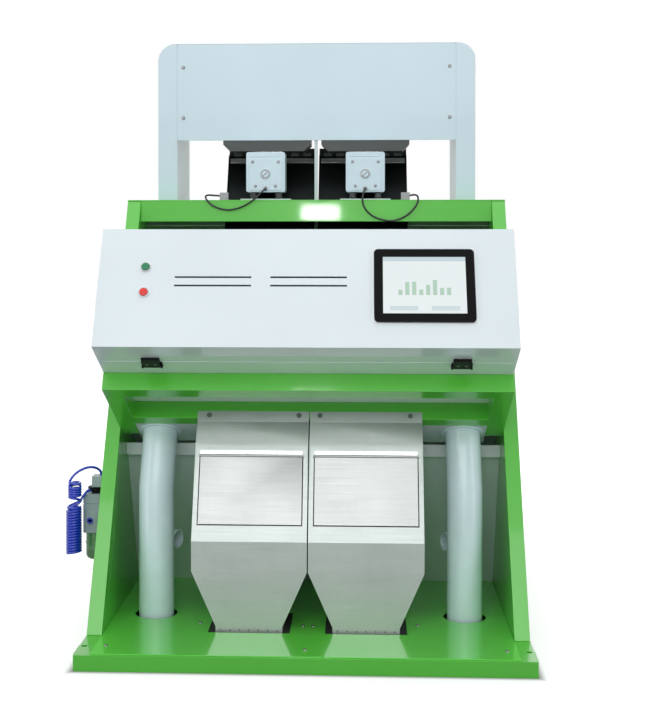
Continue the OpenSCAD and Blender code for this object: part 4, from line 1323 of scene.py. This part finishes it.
@dataclass
class AirUnit(SubAssembly):
    """Air filter and regulator with its coiled hose, whose points are in millimetres."""

    soft: Rows = (
        (Finish.CASTING, 1.6, 3, "air_body", "air_outlet_block"),
        (Finish.BOWL, 1.0, 2, "air_bowl"),
        (Finish.BLACK, 0.8, 2, "air_knob"),
    )
    port_in: float = 23.0 * MM
    port_up: float = 37.0 * MM
    port_r: float = 9.0 * MM
    port_sides: int = 32
    hose_r: float = 3.8 * MM
    hose_steps: int = 6
    knob_gap: float = 0.3 * MM
    inlet: Route = (
        (19, -8, 52), (18, -10, 62), (11, -17, 72), (-1, -26, 78), (-15, -36, 79),
        (-29, -46, 75), (-43, -54, 67), (-55, -59, 55),
    )
    back: Route = (
        (-36, -60, -20), (-28, -54, -6), (-20, -45, 6), (-14, -37, 12), (-10.5, -31, 12),
        (-9.2, -29.2, 9),
    )
    axis_y: float = -62.0
    top: float = 42.0
    end: float = -32.0
    turn_points: int = 20
    turns_at: tuple[float, ...] = (0.0, 1.5, 1.9, 5.2, 5.4, 5.8, 6.0, 6.8, 22.8, 23.5, 25.1)
    drop_at: tuple[float, ...] = (9.5, 9.5, 7.8, 7.8, 45.0, 45.0, 7.9, 7.9, 7.9, -72.0, -72.0)
    axis_at: tuple[float, ...] = (-47, -47, -47, -47, -48, -49, -50, -50, -50, -50, -50)
    radius_at: tuple[float, ...] = (
        15.5, 16.3, 16.3, 16.3, 15.5, 14.0, 16.5, 19.6, 19.6, 13.0, 10.0,
    )
    tip_at: tuple[float, ...] = (0.0, 7.0, 5.0, 1.0, 0.0, 0.0, 0.0, 0.0, 0.0, 0.0, 0.0)
    slant_at: tuple[float, ...] = (0.0, 0.0, 0.0, 0.0, 0.0, 0.0, 0.0, 4.0, 4.0, 0.0, 0.0)

    def fit_out(self) -> None:
        """Sets the port's ring and winds the hose."""
        self.add_port_ring()
        self.wind_hose()

    def add_port_ring(self) -> None:
        """Sets the coloured release ring on the filter's front port."""
        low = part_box("air_body")[0]
        ring = lathe(np.array([
            [0.5, 0.0], [1.0, 0.0], [1.0, 0.12], [0.9, 0.2], [0.6, 0.2], [0.5, 0.12], [0.5, 0.0],
        ]) * self.port_r, self.port_sides)
        ring = ring.aimed((low.x + self.port_in, low.y, low.z + self.port_up), (0.0, -1.0, 0.0))
        self.bench.add("port_ring", ring, "frame", Finish.HOSE)

    def coils(self) -> np.ndarray:
        """Both coils and the run up inside the lower one, as one winding.

        The angle grows evenly, and the axis, the radius, the drop in a turn and the lean of
        a turn follow it.

        Returns:
            The winding's points in millimetres from the foot of the knob.
        """
        turns = np.arange(0.0, self.turns_at[-1] + 1e-9, 1.0 / self.turn_points)
        radius, axis, drop, tip, slant = (
            np.interp(turns, self.turns_at, values)
            for values in (self.radius_at, self.axis_at, self.drop_at, self.tip_at, self.slant_at)
        )
        angle = np.pi + 2.0 * np.pi * turns
        drop = drop / self.turn_points
        height = self.top - np.concatenate([[0.0], np.cumsum(0.5 * (drop[1:] + drop[:-1]))])
        lowest = int(height.argmin())
        climb = (self.end - height[lowest]) / (height[-1] - height[lowest])
        height[lowest:] = height[lowest] + (height[lowest:] - height[lowest]) * climb
        x = axis + radius * np.cos(angle)
        y = self.axis_y + radius * np.sin(angle)
        z = height + tip * np.sin(angle) + slant * np.cos(angle)
        return np.stack([x, y, z], axis=-1)

    def wind_hose(self) -> None:
        """Runs the hose from the outlet block down both coils, up inside and back to the filter.

        The curves that lead in and out overlap the winding by a few of its points, so that their
        slopes agree, and the spans that overlap are cut off.
        """
        low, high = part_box("air_knob")
        middle = (low + high) / 2
        foot = np.array([middle.x, middle.y, low.z - self.knob_gap])
        coils, steps = self.coils(), self.hose_steps
        lead = catmull_rom(np.vstack([self.inlet, coils[:2]]), steps)[:-steps - 1]
        tail = catmull_rom(np.vstack([coils[-3:], self.back]), steps)[2 * steps + 1:]
        path = np.vstack([lead, coils, tail]) * MM + foot
        hose = self.bench.cord("coiled_hose", path, self.hose_r, Finish.HOSE,
                               ("air_hose_leads", "air_hose_upper_coil", "air_hose_lower_coil"))


# Studio


@dataclass
class Studio:
    """Pale floor, white surround, soft lights and the camera of the photograph.

    A row of lamps holds a name, a place, the place that it points at, a size and a power.
    """

    focal_px: float = 1300.0
    centre_px: tuple[float, float] = (302.7, 249.7)
    eye: Point = (0.150, -3.978, 1.135)
    yaw: float = math.radians(2.63)
    pitch: float = math.radians(0.70)
    sensor: float = 36.0
    sight: float = 100.0
    floor_half: float = 15.0
    floor_drop: float = 1e-4
    floor_tones: tuple[Colour, Colour] = ((0.33, 0.34, 0.33), (0.37, 0.37, 0.37))
    contact: float = 0.02
    near_glow: float = 0.68
    mirror_glow: float = 0.36
    shadow_reach: float = 0.45
    sky: Colour = (0.93, 0.97, 1.0)
    sky_power: float = 0.42
    lamps: Rows = (
        ("overhead", (0.0, -0.6, 4.2), (0.0, 0.0, 0.8), (3.6, 2.6), 40.0),
        ("front", (-0.4, -4.6, 3.0), (0.0, 0.0, 0.9), (3.6, 2.2), 70.0),
        ("left_fill", (-4.0, -2.4, 1.6), (0.0, 0.0, 0.8), (1.6, 2.4), 25.0),
        ("right_fill", (4.0, -2.4, 1.8), (0.0, 0.0, 0.8), (1.6, 2.4), 25.0),
        ("beam_spark", (-0.12, -4.10, 1.272), (0.0, 0.16, 1.21), (0.24, 0.09), 4.8),
        ("shelf_spark", (-0.10, -2.53, 2.90), (0.0, -0.48, 0.72), (0.24, 0.03), 2.0),
        ("rear", (0.0, 4.2, 2.8), (0.0, 0.0, 0.9), (3.0, 1.6), 46.0),
        ("left_back", (-3.6, 2.4, 1.8), (0.0, 0.0, 0.8), (1.6, 2.0), 24.0),
        ("right_back", (3.6, 2.4, 1.8), (0.0, 0.0, 0.8), (1.6, 2.0), 24.0),
    )

    def build(self) -> None:
        """Sets up the camera, floor, world and lights."""
        bpy.context.scene.view_settings.view_transform = "Standard"
        self.place_camera()
        self.lay_floor()
        self.light_world()
        for name, at, to, size, power in self.lamps:
            self.hang_lamp(name, at, to, size, power)

    def place_camera(self) -> None:
        """Aims the camera with the photograph's focal length and shift."""
        data = bpy.data.cameras.new("photo_camera")
        data.sensor_fit = "HORIZONTAL"
        data.sensor_width = self.sensor
        data.lens = self.focal_px / IMAGE_W * self.sensor
        data.shift_x = (IMAGE_W / 2 - self.centre_px[0]) / IMAGE_W
        data.shift_y = (self.centre_px[1] - IMAGE_H / 2) / IMAGE_W
        data.clip_end = self.sight
        camera = entered("photo_camera", data)
        level = math.cos(self.pitch)
        ahead = Vector((
            -math.sin(self.yaw) * level, math.cos(self.yaw) * level, -math.sin(self.pitch),
        ))
        right = ahead.cross(Vector((0, 0, 1))).normalized()
        up = right.cross(ahead)
        turn = Matrix((right, up, -ahead)).transposed().to_4x4()
        camera.matrix_world = Matrix.Translation(self.eye) @ turn
        bpy.context.scene.camera = camera

    def lay_floor(self) -> None:
        """Lays a pale floor that glows white to the camera, save in the object's contact shadow."""
        half, drop = self.floor_half, self.floor_drop
        mesh = bpy.data.meshes.new("studio_floor")
        corners = [(x * half, y * half, -drop) for x, y in ((-1, -1), (1, -1), (1, 1), (-1, 1))]
        mesh.from_pydata(corners, [], [(0, 1, 2, 3)])
        book = MaterialBook("floor_white")
        place = book.place()
        across = book.axis(place, "X").magnitude() - CAD_BOX[1].x
        along = book.axis(place, "Y").magnitude() - CAD_BOX[1].y
        out = across.most(along)
        near = (out / self.contact).clamped()
        far = (out / self.shadow_reach).clamped()
        seen = book.ray("Is Camera Ray") + self.mirror_glow * book.ray("Is Glossy Ray")
        seen = (seen + book.ray("Is Transmission Ray")).clamped()
        glow = seen * (self.near_glow * near + (1.0 - self.near_glow) * far)
        mesh.materials.append(book.finish(
            Base_Color=book.blend(book.noise(place, scale=0.8, detail=2.0), *self.floor_tones),
            Roughness=0.9,
            Emission_Color=book.blend(glow, (0.0, 0.0, 0.0), (1.0, 1.0, 1.0)),
            Emission_Strength=1.0,
        ))
        entered("studio_floor", mesh)

    def light_world(self) -> None:
        """White to the camera and to mirrors, a soft grey light to everything else."""
        world = bpy.data.worlds.new("studio_world")
        bpy.context.scene.world = world
        world.use_nodes = True
        book = NodeBook(world.node_tree)
        sky = world.node_tree.nodes["Background"]
        book.put(self.sky, sky.inputs["Color"])
        book.put(self.sky_power, sky.inputs["Strength"])
        white = {"Color": (1.0, 1.0, 1.0), "Strength": 1.0}
        plain = book.node("ShaderNodeBackground", {}, white)
        shown = book.ray("Is Camera Ray").most(book.ray("Is Glossy Ray"))
        shown = shown.most(book.ray("Is Transmission Ray"))
        mixed = {0: shown, 1: Value(book, sky.outputs[0]), 2: plain}
        surface = world.node_tree.nodes["World Output"].inputs["Surface"]
        book.put(book.node("ShaderNodeMixShader", {}, mixed), surface)

    @staticmethod
    def hang_lamp(name: str, at: Point, to: Point, size: tuple[float, float], power: float) -> None:
        """Hangs one soft lamp that points at a place.

        Args:
            name: the lamp's name.
            at, to: its place and the place that it points at.
            size: width and height of its face.
            power: its power in watts.
        """
        data = bpy.data.lights.new(name, "AREA")
        data.shape = "RECTANGLE"
        data.size, data.size_y = size
        data.energy = power
        lamp = entered(name, data)
        lamp.location = at
        lamp.rotation_euler = (Vector(to) - Vector(at)).to_track_quat("-Z", "Y").to_euler()


def main() -> None:
    """Builds the studio and then the sub-assemblies in order."""
    logging.basicConfig(level=logging.INFO, format="%(name)s: %(message)s")
    bench = Bench()
    Studio().build()
    for assembly in (
        Feeders, AirUnit, BaseAndFrame, Console, Hood, Optics, ProductHoppers, DustDucts,
    ):
        assembly(bench).build()


if __name__ == "__main__":
    main()
